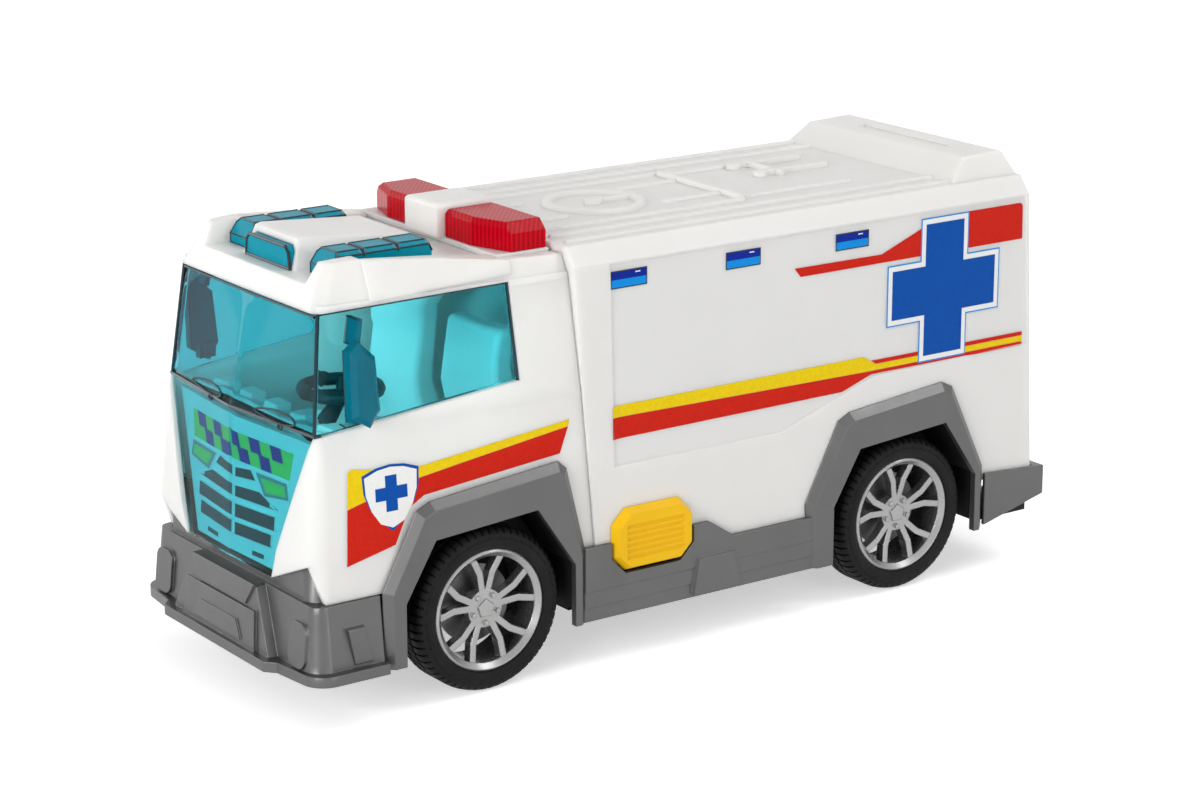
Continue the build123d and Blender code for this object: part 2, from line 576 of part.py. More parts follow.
PANEL_DEPTH = 0.5
PANEL_FRONT = -41.0         # sunk side panel, from the front axle
PANEL_LEAN = 1.6            # its lower corners further back
PANEL_LOW = 28.9            # above the box's bottom edge
PANEL_HIGH = 40.5
PANEL_TOP_DROP = 6.0        # below the roof
PANEL_RISE_START = 47.7     # from the rear axle
PANEL_RISE_END = 12.1
PANEL_REAR = 7.6            # from the toy's rear end
panel_points = (
    (ahead(PANEL_FRONT), BOX_ROOF_Z - PANEL_TOP_DROP),
    (ahead(PANEL_FRONT - PANEL_LEAN), BOX_BOTTOM + PANEL_LOW),
    (REAR_AXLE_X + PANEL_RISE_START, BOX_BOTTOM + PANEL_LOW),
    (REAR_AXLE_X + PANEL_RISE_END, BOX_BOTTOM + PANEL_HIGH),
    (REAR_X + PANEL_REAR, BOX_BOTTOM + PANEL_HIGH + 1),
    (REAR_X + PANEL_REAR + 3, BOX_ROOF_Z - PANEL_TOP_DROP))
panel_cut = side_prism(panel_points, SIDE_Y - PANEL_DEPTH, SIDE_Y + PAST)

SPOILER_BASE_FRONT = 36.2   # all from the toy's rear end
SPOILER_TOP_FRONT = 28.9
SPOILER_TOP_REAR = 13.4
SPOILER_HEIGHT = 7.2
SPOILER_FALL = 0.6          # front edge of its top below the rear edge
SPOILER_IN = 5.2            # its foot inside the box's side
SPOILER_LEAN = 4.0
SPOILER_SLOT_Y = 21.0
SPOILER_SLOT_WIDTH = 4.0
SPOILER_SLOT_DEPTH = 0.7
SPOILER_EDGE = 1.0          # radius of its upper edges
spoiler_z = BOX_ROOF_Z + SPOILER_HEIGHT
spoiler_y = SIDE_Y - SPOILER_IN
spoiler_profile = across((
    (REAR_X + SPOILER_BASE_FRONT, BOX_ROOF_Z - 0.5), (REAR_X + SPOILER_TOP_FRONT, spoiler_z - SPOILER_FALL),
    (REAR_X + SPOILER_TOP_REAR, spoiler_z), (REAR_X + BOX_REAR_TOP, BOX_ROOF_Z - 0.5)))
spoiler_sides = front_prism(both_sides(((spoiler_y, BOX_ROOF_Z - 0.5),
                                        (spoiler_y - SPOILER_LEAN, spoiler_z + 0.1))),
                            REAR_X, REAR_X + 2 * SPOILER_BASE_FRONT)
slot_x = REAR_X + (SPOILER_TOP_FRONT + SPOILER_TOP_REAR) / 2
spoiler_slot = slab(slot_x - SPOILER_SLOT_WIDTH / 2, slot_x + SPOILER_SLOT_WIDTH / 2, SPOILER_SLOT_Y,
                    spoiler_z - SPOILER_FALL / 2 - SPOILER_SLOT_DEPTH, spoiler_z + 1)
with BuildPart() as spoiler:
    add(spoiler_profile)
    add(spoiler_sides, mode=Mode.INTERSECT)
    fillet(spoiler.faces().sort_by(Axis.Z)[-1].edges(), SPOILER_EDGE)
    add(spoiler_slot, mode=Mode.SUBTRACT)

# Roof relief: ribs in a table of distance in from the side, start and end, and a fan, a bar and pipes
RIB_WIDTH = 1.8
RIB_HEIGHT = 0.9
RIB_DRAFT = 25.0            # degrees
FAN_AHEAD = -67.0           # from the front axle
FAN_R = 15.5
FAN_RING = 3.2
FAN_HEIGHT = 1.3
FAN_HUB_R = 2.6
BAR_AHEAD = -106.0
BAR_Y = 21.0
PIPE_END = -157.0
PIPE_LENGTH = 26.0
PIPE_YS = (-16.0, -2.5)
PIPE_CAP_R = 2.2
PIPE_HEIGHT = 1.6
TIE_BACK = 31.0             # tie between the pipes behind the bar
TIE_LENGTH = 20.0
ROOF_FRONT = -31.0
fan_x = ahead(FAN_AHEAD)
fan_clear = FAN_R + 1.5
Rib = namedtuple("Rib", "y start end")
roof_ribs = (
    Rib(SIDE_Y - 7.8, ahead(ROOF_FRONT), REAR_X + SPOILER_BASE_FRONT - 2),
    Rib(SIDE_Y - 15.7, ahead(ROOF_FRONT), REAR_X + SPOILER_BASE_FRONT - 2),
    Rib(22.0, ahead(ROOF_FRONT), ahead(BAR_AHEAD)),
    Rib(11.0, ahead(ROOF_FRONT), fan_x + fan_clear),
    Rib(11.0, fan_x - fan_clear, ahead(BAR_AHEAD)),
    Rib(19.0, ahead(BAR_AHEAD), ahead(PIPE_END) + 8),
)
with BuildPart() as roof_relief:
    for row in roof_ribs:
        for sign in SIDES.values():
            with BuildSketch(Plane.XY.offset(BOX_ROOF_Z)):
                with Locations(((row.start + row.end) / 2, sign * row.y)):
                    Rectangle(row.start - row.end, RIB_WIDTH)
            extrude(amount=RIB_HEIGHT, taper=RIB_DRAFT)
    # Fan: raised ring with a hub and one arm
    with BuildSketch(Plane.XY.offset(BOX_ROOF_Z)):
        with Locations((fan_x, 0)):
            Circle(FAN_R)
    extrude(amount=FAN_HEIGHT, taper=RIB_DRAFT)
    with BuildSketch(Plane.XY.offset(BOX_ROOF_Z)):
        with Locations((fan_x, 0)):
            Circle(FAN_R - FAN_RING)
    extrude(amount=FAN_HEIGHT, taper=-RIB_DRAFT, mode=Mode.SUBTRACT)
    with BuildSketch(Plane.XY.offset(BOX_ROOF_Z)):
        with Locations((fan_x, 0)):
            Circle(FAN_HUB_R)
        with Locations((fan_x - FAN_R / 2, 0)):
            Rectangle(FAN_R, RIB_WIDTH)
    extrude(amount=FAN_HEIGHT)
    # Bar across the roof, then two pipes with round caps and a tie between them
    with BuildSketch(Plane.XY.offset(BOX_ROOF_Z)):
        with Locations((ahead(BAR_AHEAD), 0)):
            Rectangle(RIB_WIDTH, 2 * BAR_Y)
        with Locations((ahead(BAR_AHEAD - TIE_BACK), sum(PIPE_YS) / 2)):
            Rectangle(RIB_WIDTH, TIE_LENGTH)
        for y in PIPE_YS:
            with Locations((ahead(PIPE_END + PIPE_LENGTH / 2), y)):
                Rectangle(PIPE_LENGTH, RIB_WIDTH)
            with Locations((ahead(PIPE_END + PIPE_LENGTH), y)):
                Circle(PIPE_CAP_R)
    extrude(amount=PIPE_HEIGHT)

# Rear doors: two raised leaves with a sunk window and a handle each
DOOR_PROUD = 0.6
DOOR_IN_Y = 0.8             # from the middle
DOOR_OUT = 6.0              # inside the box's side
DOOR_FOOT = 6.0             # above the box's bottom edge
DOOR_TOP_DROP = 13.0        # below the roof
DOOR_PANE_BORDER = 7.0
DOOR_PANE_HEIGHT = 26.0
HANDLE_WIDTH = 2.4
HANDLE_HEIGHT = 14.0
HANDLE_DROP = 4.0           # below the window
HANDLE_PROUD = 1.8
door_out_y = SIDE_Y - DOOR_OUT
door_top = BOX_ROOF_Z - DOOR_TOP_DROP
door_layer = box_form(-DOOR_PROUD, 0)
handle_layer = box_form(-HANDLE_PROUD, 0)
rear_inside = REAR_X + BOX_REAR_TOP + 1
doors = []
handles = []
for sign in SIDES.values():
    leaf = ((sign * DOOR_IN_Y, BOX_BOTTOM + DOOR_FOOT), (sign * DOOR_IN_Y, door_top),
            (sign * door_out_y, door_top), (sign * door_out_y, BOX_BOTTOM + DOOR_FOOT))
    pane_low = door_top - DOOR_PANE_BORDER - DOOR_PANE_HEIGHT
    pane = ((sign * (DOOR_IN_Y + DOOR_PANE_BORDER), pane_low),
            (sign * (DOOR_IN_Y + DOOR_PANE_BORDER), door_top - DOOR_PANE_BORDER),
            (sign * (door_out_y - DOOR_PANE_BORDER), door_top - DOOR_PANE_BORDER),
            (sign * (door_out_y - DOOR_PANE_BORDER), pane_low))
    grip_y = sign * (DOOR_IN_Y + HANDLE_WIDTH)
    grip_top = pane_low - HANDLE_DROP
    grip_low = grip_top - HANDLE_HEIGHT
    grip = ((grip_y - HANDLE_WIDTH / 2, grip_low), (grip_y - HANDLE_WIDTH / 2, grip_top),
            (grip_y + HANDLE_WIDTH / 2, grip_top), (grip_y + HANDLE_WIDTH / 2, grip_low))
    leaf_prism = front_prism(leaf, REAR_X - PAST, rear_inside)
    pane_prism = front_prism(pane, REAR_X - PAST, rear_inside)
    doors.append((leaf_prism, pane_prism))
    handles.append(front_prism(grip, REAR_X - PAST, rear_inside))
with BuildPart() as door_relief:
    for leaf, pane in doors:
        add(leaf)
        add(pane, mode=Mode.SUBTRACT)
    add(door_layer, mode=Mode.INTERSECT)
with BuildPart() as handle_relief:
    for grip in handles:
        add(grip)
    add(handle_layer, mode=Mode.INTERSECT)
box_outer = box_form(0, 0)
box_inner = box_form(WALL, PAST / 3)
with BuildPart() as box_shell:
    add(box_outer)
    add(door_relief.part)
    add(handle_relief.part)
    add(box_inner, mode=Mode.SUBTRACT)
    add(spoiler.part)
    add(roof_relief.part)
    add(panel_cut, mode=Mode.SUBTRACT)
    mirror(panel_cut, about=Plane.XZ, mode=Mode.SUBTRACT)
    add(arch_cuts[1], mode=Mode.SUBTRACT)
save(box_shell, "box_shell")

# Base heights, which the liners and the lower mouldings stand on
FLANGE_THICKNESS = 2.0
BASE_THICKNESS = 2.5
BASE_BOTTOM = SKIRT_BOTTOM + FLANGE_THICKNESS + FIT_GAP
BASE_TOP = BASE_BOTTOM + BASE_THICKNESS

# Wheel-arch liners: a black arch over each wheel with a wall behind it
LINER_OUT = 0.8             # liner's outer edge inside the box's side
AXLE_SLOT = 4.0             # height of the slot for the axle
for end, axle_x in AXLES.items():
    for side, sign in SIDES.items():
        y_in = sign * LINER_INNER_Y
        opening = arch(ARCH_OPENING, axle_x)
        liner_outer = side_prism(opening, y_in, sign * (SIDE_Y - LINER_OUT), grow=LINER_GAP + LINER_WALL)
        liner_inner = side_prism(opening, y_in + sign * LINER_WALL, sign * (SIDE_Y + PAST), grow=LINER_GAP)
        liner_foot = slab(axle_x - 2 * TYRE_R, axle_x + 2 * TYRE_R, SIDE_Y + PAST, 0, BASE_TOP + FIT_GAP)
        with BuildPart() as liner:
            add(liner_outer)
            add(liner_inner, mode=Mode.SUBTRACT)
            add(liner_foot, mode=Mode.SUBTRACT)
            with BuildSketch(Plane.XZ):
                with Locations((axle_x, TYRE_R)):
                    SlotCenterToCenter(2 * AXLE_SLOT, 2 * AXLE_R + 3.0, rotation=90)
            extrude(amount=SIDE_Y + PAST, both=True, mode=Mode.SUBTRACT)
        save(liner, f"arch_liner_{end}_{side}")

# Lower side mouldings: both flares of a side with the stepped skirt between them
SEAT_GAP = 0.1              # mouldings outside the box's side
FLARE_PROUD = 2.4
FLARE_BEVEL = 3.0           # width of the flare's bevel, seen from the side
SKIRT_PROUD = 1.7
SKIRT_STEP = 0.25           # each lower band of the skirt lies this much further in
SKIRT_BANDS = (8.9, 4.0)    # their upper edges above the skirt's bottom
SKIRT_SLOPE_START = -75.5   # from the front axle
SKIRT_SLOPE_END = -84.4
STEP_FRONT = -68.4          # raised block under the button, from the front axle
STEP_REAR = -87.0
STEP_LEAN = 2.0
STEP_HEIGHT = 12.6
STEP_PROUD = 0.9
FLANGE_IN = 5.2             # inner edge of the skirt's bottom flange, inside the box's side
BUTTON_FRONT = -41.0        # from the front axle
BUTTON_LENGTH = 28.2
BUTTON_RISE = 12.8          # above the skirt's bottom
BUTTON_HEIGHT = 18.8
BUTTON_CORNER = 4.6
BUTTON_PROUD = 3.2
BUTTON_GAP = 0.4
seat_y = SIDE_Y + SEAT_GAP
skirt_y = SIDE_Y + SKIRT_PROUD
flange_y = SIDE_Y - FLANGE_IN
button_front_x = ahead(BUTTON_FRONT)
button_rear_x = button_front_x - BUTTON_LENGTH
button_low = SKIRT_BOTTOM + BUTTON_RISE
button_top = button_low + BUTTON_HEIGHT
button_points = (
    (button_front_x, button_low + BUTTON_CORNER), (button_front_x, button_top - BUTTON_CORNER),
    (button_front_x - BUTTON_CORNER, button_top), (button_rear_x + BUTTON_CORNER, button_top),
    (button_rear_x, button_top - BUTTON_CORNER), (button_rear_x, button_low + BUTTON_CORNER),
    (button_rear_x + BUTTON_CORNER, button_low), (button_front_x - BUTTON_CORNER, button_low))
button_cut = side_prism(button_points, flange_y, SIDE_Y + PAST, grow=BUTTON_GAP)
skirt_front = ahead(FLARES["front"][-1][0]) + 1
skirt_rear = REAR_AXLE_X + FLARES["rear"][0][0] - 1
skirt_low_z = SKIRT_BOTTOM + SKIRT_LOW_HEIGHT
skirt_points = (
    (skirt_front, SKIRT_BOTTOM), (skirt_front, SKIRT_BOTTOM + SKIRT_HEIGHT),
    (ahead(SKIRT_SLOPE_START), SKIRT_BOTTOM + SKIRT_HEIGHT), (ahead(SKIRT_SLOPE_END), skirt_low_z),
    (skirt_rear, skirt_low_z), (skirt_rear, SKIRT_BOTTOM))
step_points = (
    (ahead(STEP_FRONT), SKIRT_BOTTOM), (ahead(STEP_FRONT - STEP_LEAN), SKIRT_BOTTOM + STEP_HEIGHT),
    (ahead(STEP_REAR + STEP_LEAN), SKIRT_BOTTOM + STEP_HEIGHT), (ahead(STEP_REAR), SKIRT_BOTTOM))
for side, sign in SIDES.items():
    flares = []
    for end, axle_x in AXLES.items():
        outline = list(arch(FLARES[end], axle_x))
        outline[0] = (outline[0][0], SKIRT_BOTTOM - 2 * FLARE_BEVEL)
        outline[-1] = (outline[-1][0], SKIRT_BOTTOM - 2 * FLARE_BEVEL)
        flares.append(side_prism(outline, sign * seat_y, sign * (SIDE_Y + FLARE_PROUD), draft=48))
    openings = [side_prism(arch(ARCH_OPENING, axle_x), sign * flange_y, sign * (SIDE_Y + PAST))
                for axle_x in AXLES.values()]
    below = slab(REAR_X, FRONT_X, SIDE_Y + PAST, -PAST, SKIRT_BOTTOM)
    skirt = side_prism(skirt_points, sign * seat_y, sign * skirt_y)
    bands = [
        plan_prism(((skirt_rear, sign * (skirt_y - (index + 1) * SKIRT_STEP)),
                    (skirt_rear, sign * (skirt_y + 1)), (skirt_front, sign * (skirt_y + 1)),
                    (skirt_front, sign * (skirt_y - (index + 1) * SKIRT_STEP))),
                   0, SKIRT_BOTTOM + height)
        for index, height in enumerate(SKIRT_BANDS)
    ]
    step = side_prism(step_points, sign * seat_y, sign * (skirt_y + STEP_PROUD), draft=20)
    flange = plan_prism(((skirt_front, sign * flange_y), (skirt_front, sign * (skirt_y - 1)),
                         (skirt_rear, sign * (skirt_y - 1)), (skirt_rear, sign * flange_y)),
                        SKIRT_BOTTOM, SKIRT_BOTTOM + FLANGE_THICKNESS)
    with BuildPart() as lower_side:
        add(skirt)
        for band in bands:
            add(band, mode=Mode.SUBTRACT)
        add(step)
        add(flange)
        for flare in flares:
            add(flare)
        add(below, mode=Mode.SUBTRACT)
        for opening in openings:
            add(opening, mode=Mode.SUBTRACT)
        if side == "left":
            add(button_cut, mode=Mode.SUBTRACT)
    save(lower_side, f"lower_side_{side}")

# Push button with a ribbed field on its face
FIELD_BORDER = 4.0
FIELD_DEPTH = 0.5
FIELD_RIBS = 6
button_form = side_prism(button_points, seat_y, SIDE_Y + BUTTON_PROUD, draft=25)
rib_pitch = (BUTTON_HEIGHT - 2 * FIELD_BORDER) / FIELD_RIBS
grooves = []
for index in range(FIELD_RIBS):
    low = button_low + FIELD_BORDER + index * rib_pitch
    grooves.append(side_prism(
        ((button_front_x - FIELD_BORDER, low), (button_front_x - FIELD_BORDER, low + rib_pitch / 2),
         (button_rear_x + FIELD_BORDER, low + rib_pitch / 2), (button_rear_x + FIELD_BORDER, low)),
        SIDE_Y + BUTTON_PROUD - FIELD_DEPTH, SIDE_Y + BUTTON_PROUD + 1))
with BuildPart() as side_button:
    add(button_form)
    for groove in grooves:
        add(groove, mode=Mode.SUBTRACT)
save(side_button, "side_button")

# Front bumper: drafted body with a lip, a raised middle, a plate on it and a pad at each corner
BUMPER_DRAFT = 6.0          # degrees
BUMPER_PROUD = 2.2          # outside the box's side, at the foot
BUMPER_BACK = 5.0           # corners' front behind the lip's tip, at the foot
BUMPER_RADIUS = 6.0
BUMPER_OVERRUN = 4.0        # drafted body runs back this far, and is cut square at the flare
LIP_RISE = 0.3              # lip above the skirt's bottom
LIP_THICKNESS = 3.0
LIP_PROUD = 4.8             # outside the box's side
LIP_CORNER_BACK = 2.6       # lip's corners behind its middle
LIP_MIDDLE_Y = 29.5
LIP_RADIUS = 7.0
BAND_IN = 3.3               # band behind the cheeks, inside the box's side
BAND_BACK = 2.9             # behind the nose
BAND_RADIUS = 5.5
BUMPER_HOLLOW_IN = 5.2      # inside the box's side
BUMPER_HOLLOW_BACK = 12.0   # behind the lip's tip
MIDDLE_BACK = 2.2           # raised middle behind the lip's tip
MIDDLE_TOP_Y = 18.4
MIDDLE_FOOT_Y = 29.4
MIDDLE_DEPTH = 5.6
MIDDLE_DRAFT = 10.0         # degrees
HOOD_TOP_Y = 17.6           # panel above the plate
HOOD_FOOT_Y = 13.4
HOOD_LOW = 15.0             # above the skirt's bottom
HOOD_PROUD = 0.6
PLATE_TOP_Y = 19.0
PLATE_FOOT_Y = 20.4
PLATE_LOW = 2.4             # above the skirt's bottom
PLATE_HIGH = 14.4
PLATE_PROUD = 0.9
TRAY_TOP_Y = 10.0
TRAY_FOOT_Y = 13.2
TRAY_LOW = 4.8
TRAY_HIGH = 10.0
TRAY_PROUD = 0.6
PAD_IN_Y = 33.6
PAD_OUT_Y = 42.6
PAD_LOW = 3.6
PAD_HIGH = 16.4
PAD_PROUD = 1.0
PAD_RADIUS = 3.0
SIDE_PAD = ((17.0, 3.2), (14.6, 15.6), (22.0, 15.6), (25.0, 3.2))   # behind the lip's tip, above its foot
LEAN = 0.105                # how far the front leans back for each millimetre of height
lip_z = SKIRT_BOTTOM + LIP_RISE
lip_top = lip_z + LIP_THICKNESS
bumper_rear = ahead(FLARES["front"][0][0]) + FIT_GAP + 0.6
bumper_x = FRONT_X - BUMPER_BACK


def leaning(back):
    """Everything behind the bumper's leaning front, this far behind the lip's tip at the foot."""
    foot_x = FRONT_X - back
    return across(((REAR_X, lip_z), (foot_x, lip_z), (foot_x - LEAN * BUMPER_HEIGHT, lip_z + BUMPER_HEIGHT),
                   (REAR_X, lip_z + BUMPER_HEIGHT)))


bumper_y = SIDE_Y + BUMPER_PROUD
bumper_body = plan_prism(both_sides_plan(((bumper_rear - BUMPER_OVERRUN, bumper_y), (bumper_x, bumper_y))),
                         lip_z, BUMPER_TOP, draft=BUMPER_DRAFT,
                         radius=BUMPER_RADIUS, rounded=lambda v: v.X > bumper_rear + 1)
bumper_lip = plan_prism(
    both_sides_plan(((bumper_rear, SIDE_Y + LIP_PROUD), (FRONT_X - LIP_CORNER_BACK - 2, SIDE_Y + LIP_PROUD),
                     (FRONT_X - LIP_CORNER_BACK, LIP_MIDDLE_Y + 2), (FRONT_X, LIP_MIDDLE_Y - 1))),
    lip_z, lip_top, radius=LIP_RADIUS, rounded=lambda v: abs(v.Y) > SIDE_Y and v.X > bumper_rear + 1)
band_y = SIDE_Y - BAND_IN
bumper_band = plan_prism(both_sides_plan(((bumper_rear, band_y), (nose(BAND_BACK), band_y))),
                         BUMPER_TOP - 1, CHEEK_Z + 1,
                         radius=BAND_RADIUS, rounded=lambda v: v.X > bumper_rear + 1)
bumper_hollow = plan_prism(both_sides_plan((
    (bumper_rear - 1, SIDE_Y - BUMPER_HOLLOW_IN), (FRONT_X - BUMPER_HOLLOW_BACK, SIDE_Y - BUMPER_HOLLOW_IN),
    (FRONT_X - BUMPER_HOLLOW_BACK + 2, SIDE_Y - BUMPER_HOLLOW_IN - 3))), 0, BUMPER_TOP + PAST)
band_cut = front_prism(grille_outline, bumper_rear - 1, FRONT_X + 1, grow=2 * FIT_GAP)
bumper_middle = front_prism(
    both_sides(((MIDDLE_TOP_Y, BUMPER_TOP), (MIDDLE_FOOT_Y, lip_z))),
    FRONT_X - MIDDLE_BACK - MIDDLE_DEPTH, FRONT_X - MIDDLE_BACK + 1, draft=MIDDLE_DRAFT)
# Panels on the raised middle: half widths, heights above the skirt's bottom and how far proud
MiddlePanel = namedtuple("MiddlePanel", "top_y foot_y low high proud")
MIDDLE_PANELS = (
    MiddlePanel(HOOD_TOP_Y, HOOD_FOOT_Y, HOOD_LOW, BUMPER_HEIGHT, HOOD_PROUD),
    MiddlePanel(PLATE_TOP_Y, PLATE_FOOT_Y, PLATE_LOW, PLATE_HIGH, PLATE_PROUD),
    MiddlePanel(TRAY_TOP_Y, TRAY_FOOT_Y, TRAY_LOW, TRAY_HIGH, PLATE_PROUD + TRAY_PROUD),
)
side_pad = tuple((FRONT_X - back, SKIRT_BOTTOM + up) for back, up in SIDE_PAD)
pad_parts = []
for sign in SIDES.values():
    with BuildPart() as pad:
        with BuildSketch(Plane.YZ.offset(bumper_x - 4)):
            with Locations((sign * (PAD_IN_Y + PAD_OUT_Y) / 2, SKIRT_BOTTOM + (PAD_LOW + PAD_HIGH) / 2)):
                RectangleRounded(PAD_OUT_Y - PAD_IN_Y, PAD_HIGH - PAD_LOW, PAD_RADIUS)
        extrude(amount=BUMPER_BACK, dir=(1, 0, 0))
    pad_parts.append(pad.part)
side_pads = [side_prism(side_pad, sign * (SIDE_Y - 2), sign * (SIDE_Y + BUMPER_PROUD + 0.2), draft=15)
             for sign in SIDES.values()]
middle_lean = leaning(MIDDLE_BACK)
pad_lean = leaning(BUMPER_BACK - PAD_PROUD)
panel_parts = []
for row in MIDDLE_PANELS:
    panel_form = front_prism(
        both_sides(((row.foot_y, SKIRT_BOTTOM + row.low), (row.top_y, SKIRT_BOTTOM + row.high))),
        FRONT_X - MIDDLE_BACK - MIDDLE_DEPTH, FRONT_X)
    panel_lean = leaning(MIDDLE_BACK - row.proud)
    with BuildPart() as panel:
        add(panel_form)
        add(panel_lean, mode=Mode.INTERSECT)
    panel_parts.append(panel.part)
with BuildPart() as bumper_block:
    add(bumper_middle)
    add(middle_lean, mode=Mode.INTERSECT)
with BuildPart() as corner_pads:
    for pad_part in pad_parts:
        add(pad_part)
    add(pad_lean, mode=Mode.INTERSECT)
bumper_end = across(((bumper_rear - PAST, 0), (bumper_rear, 0),
                     (bumper_rear, CHEEK_Z), (bumper_rear - PAST, CHEEK_Z)))
with BuildPart() as front_bumper:
    add(bumper_body)
    add(bumper_end, mode=Mode.SUBTRACT)
    add(bumper_block.part)
    for panel_part in panel_parts:
        add(panel_part)
    add(corner_pads.part)
    for pad_part in side_pads:
        add(pad_part)
    add(bumper_lip)
    add(bumper_band)
    add(bumper_hollow, mode=Mode.SUBTRACT)
    add(band_cut, mode=Mode.SUBTRACT)
save(front_bumper, "front_bumper")

# Rear bumper
REAR_BUMPER_PROUD = 1.5
REAR_BUMPER_WALL = 3.0
REAR_BUMPER_FRONT = (17.5, 0.7)     # top and bottom at its front end, above the skirt's bottom
REAR_BUMPER_REAR = (16.1, 6.8)
rear_bumper_x = REAR_AXLE_X + FLARES["rear"][-1][0] - FIT_GAP
rear_bumper_y = SIDE_Y + REAR_BUMPER_PROUD
rear_bumper_outer = side_prism(
    ((rear_bumper_x, SKIRT_BOTTOM + REAR_BUMPER_FRONT[0]), (REAR_X, SKIRT_BOTTOM + REAR_BUMPER_REAR[0]),
     (REAR_X, SKIRT_BOTTOM + REAR_BUMPER_REAR[1]), (rear_bumper_x, SKIRT_BOTTOM + REAR_BUMPER_FRONT[1])),
    -rear_bumper_y, rear_bumper_y)
rear_hollow = slab(REAR_X + REAR_BUMPER_WALL, REAR_AXLE_X, seat_y, 0, BOX_BOTTOM - 1)
rear_seat = slab(REAR_X + BOX_REAR_FOOT - DOOR_PROUD - FIT_GAP, REAR_AXLE_X, seat_y, 0, BOX_BOTTOM + PAST)
with BuildPart() as rear_bumper:
    add(rear_bumper_outer)
    add(rear_hollow, mode=Mode.SUBTRACT)
    add(rear_seat, mode=Mode.SUBTRACT)
save(rear_bumper, "rear_bumper")

# Chassis base: floor plate with axle bearings, a battery hatch, screw holes and a loudspeaker's holes
SCREW_R = 1.6
SCREW_SPACING_X = 64.0
SCREW_SPACING_Y = 60.0
SCREW_MIDDLE = -75.0        # middle of the screw pattern, from the front axle
BEARING_IN = 8.0            # middle of a bearing inside the liner's back wall
BEARING_WIDTH = 6.0
BEARING_LENGTH = 9.0
BEARING_CAP = 2.5           # above the axle
BASE_FRONT_BACK = 14.0      # base's front edge behind the lip's tip
BASE_REAR_IN = 6.0
BATTERY_FRONT = -50.0       # battery door, from the front axle
BATTERY_LENGTH = 62.0
BATTERY_WIDTH = 44.0
BATTERY_HEIGHT = 17.0
DOOR_DEPTH = 1.2
SPEAKER_AHEAD = -128.0
SPEAKER_HOLE_R = 1.1
SPEAKER_R = 6.0
SPEAKER_HOLES = 6
LINER_ROOM = 0.6            # base's edge clear of the liners
base_spine_y = LINER_INNER_Y - 2 * FIT_GAP
base_front = FRONT_X - BASE_FRONT_BACK
base_rear = REAR_X + BASE_REAR_IN
arch_front_clear = ARCH_FRONT + ARCH_CUT + LINER_ROOM
arch_rear_clear = ARCH_REAR + ARCH_CUT + LINER_ROOM
base_plates = [
    slab(x_from, x_to, half_y, BASE_BOTTOM, BASE_TOP)
    for x_from, x_to, half_y in (
        (base_rear, base_front, base_spine_y),
        (FRONT_AXLE_X + arch_front_clear, base_front, SIDE_Y - BUMPER_HOLLOW_IN - 2 * FIT_GAP),
        (REAR_AXLE_X + arch_front_clear, FRONT_AXLE_X - arch_rear_clear, flange_y - FIT_GAP),
        (base_rear, REAR_AXLE_X - arch_rear_clear, seat_y - 2 * FIT_GAP),
    )
]
battery_x = ahead(BATTERY_FRONT) - BATTERY_LENGTH / 2
bearing_y = LINER_INNER_Y - BEARING_IN
with BuildPart() as chassis_base:
    for plate in base_plates:
        add(plate)
    for axle_x in AXLES.values():
        with BuildSketch(Plane.XY.offset(BASE_TOP)):
            with Locations((axle_x, bearing_y), (axle_x, -bearing_y)):
                Rectangle(BEARING_LENGTH, BEARING_WIDTH)
        extrude(amount=TYRE_R + AXLE_R + BEARING_CAP - BASE_TOP)
        with BuildSketch(Plane.XZ):
            with Locations((axle_x, TYRE_R)):
                Circle(AXLE_R + RUN_GAP)
        extrude(amount=SIDE_Y + PAST, both=True, mode=Mode.SUBTRACT)
    with BuildSketch(Plane.XY.offset(BASE_BOTTOM)):
        with Locations((battery_x, 0)):
            Rectangle(BATTERY_LENGTH, BATTERY_WIDTH)
    extrude(amount=DOOR_DEPTH, mode=Mode.SUBTRACT)
    with BuildSketch(Plane.XY.offset(BASE_BOTTOM)):
        with Locations((ahead(SCREW_MIDDLE), 0)):
            with GridLocations(SCREW_SPACING_X, SCREW_SPACING_Y, 2, 2):
                Circle(SCREW_R)
        with Locations((ahead(SPEAKER_AHEAD), 0)):
            Circle(SPEAKER_HOLE_R)
            with PolarLocations(SPEAKER_R, SPEAKER_HOLES):
                Circle(SPEAKER_HOLE_R)
    extrude(amount=BASE_THICKNESS, mode=Mode.SUBTRACT)
save(chassis_base, "chassis_base")

with BuildPart() as battery_door:
    with BuildSketch(Plane.XY.offset(BASE_BOTTOM)):
        with Locations((battery_x, 0)):
            Rectangle(BATTERY_LENGTH - 2 * FIT_GAP, BATTERY_WIDTH - 2 * FIT_GAP)
    extrude(amount=DOOR_DEPTH - FIT_GAP)
save(battery_door, "battery_door")

with BuildPart() as battery_pack:
    with BuildSketch(Plane.XY.offset(BASE_TOP)):
        with Locations((battery_x, 0)):
            Rectangle(BATTERY_LENGTH, BATTERY_WIDTH)
    extrude(amount=BATTERY_HEIGHT)
save(battery_pack, "battery_pack")

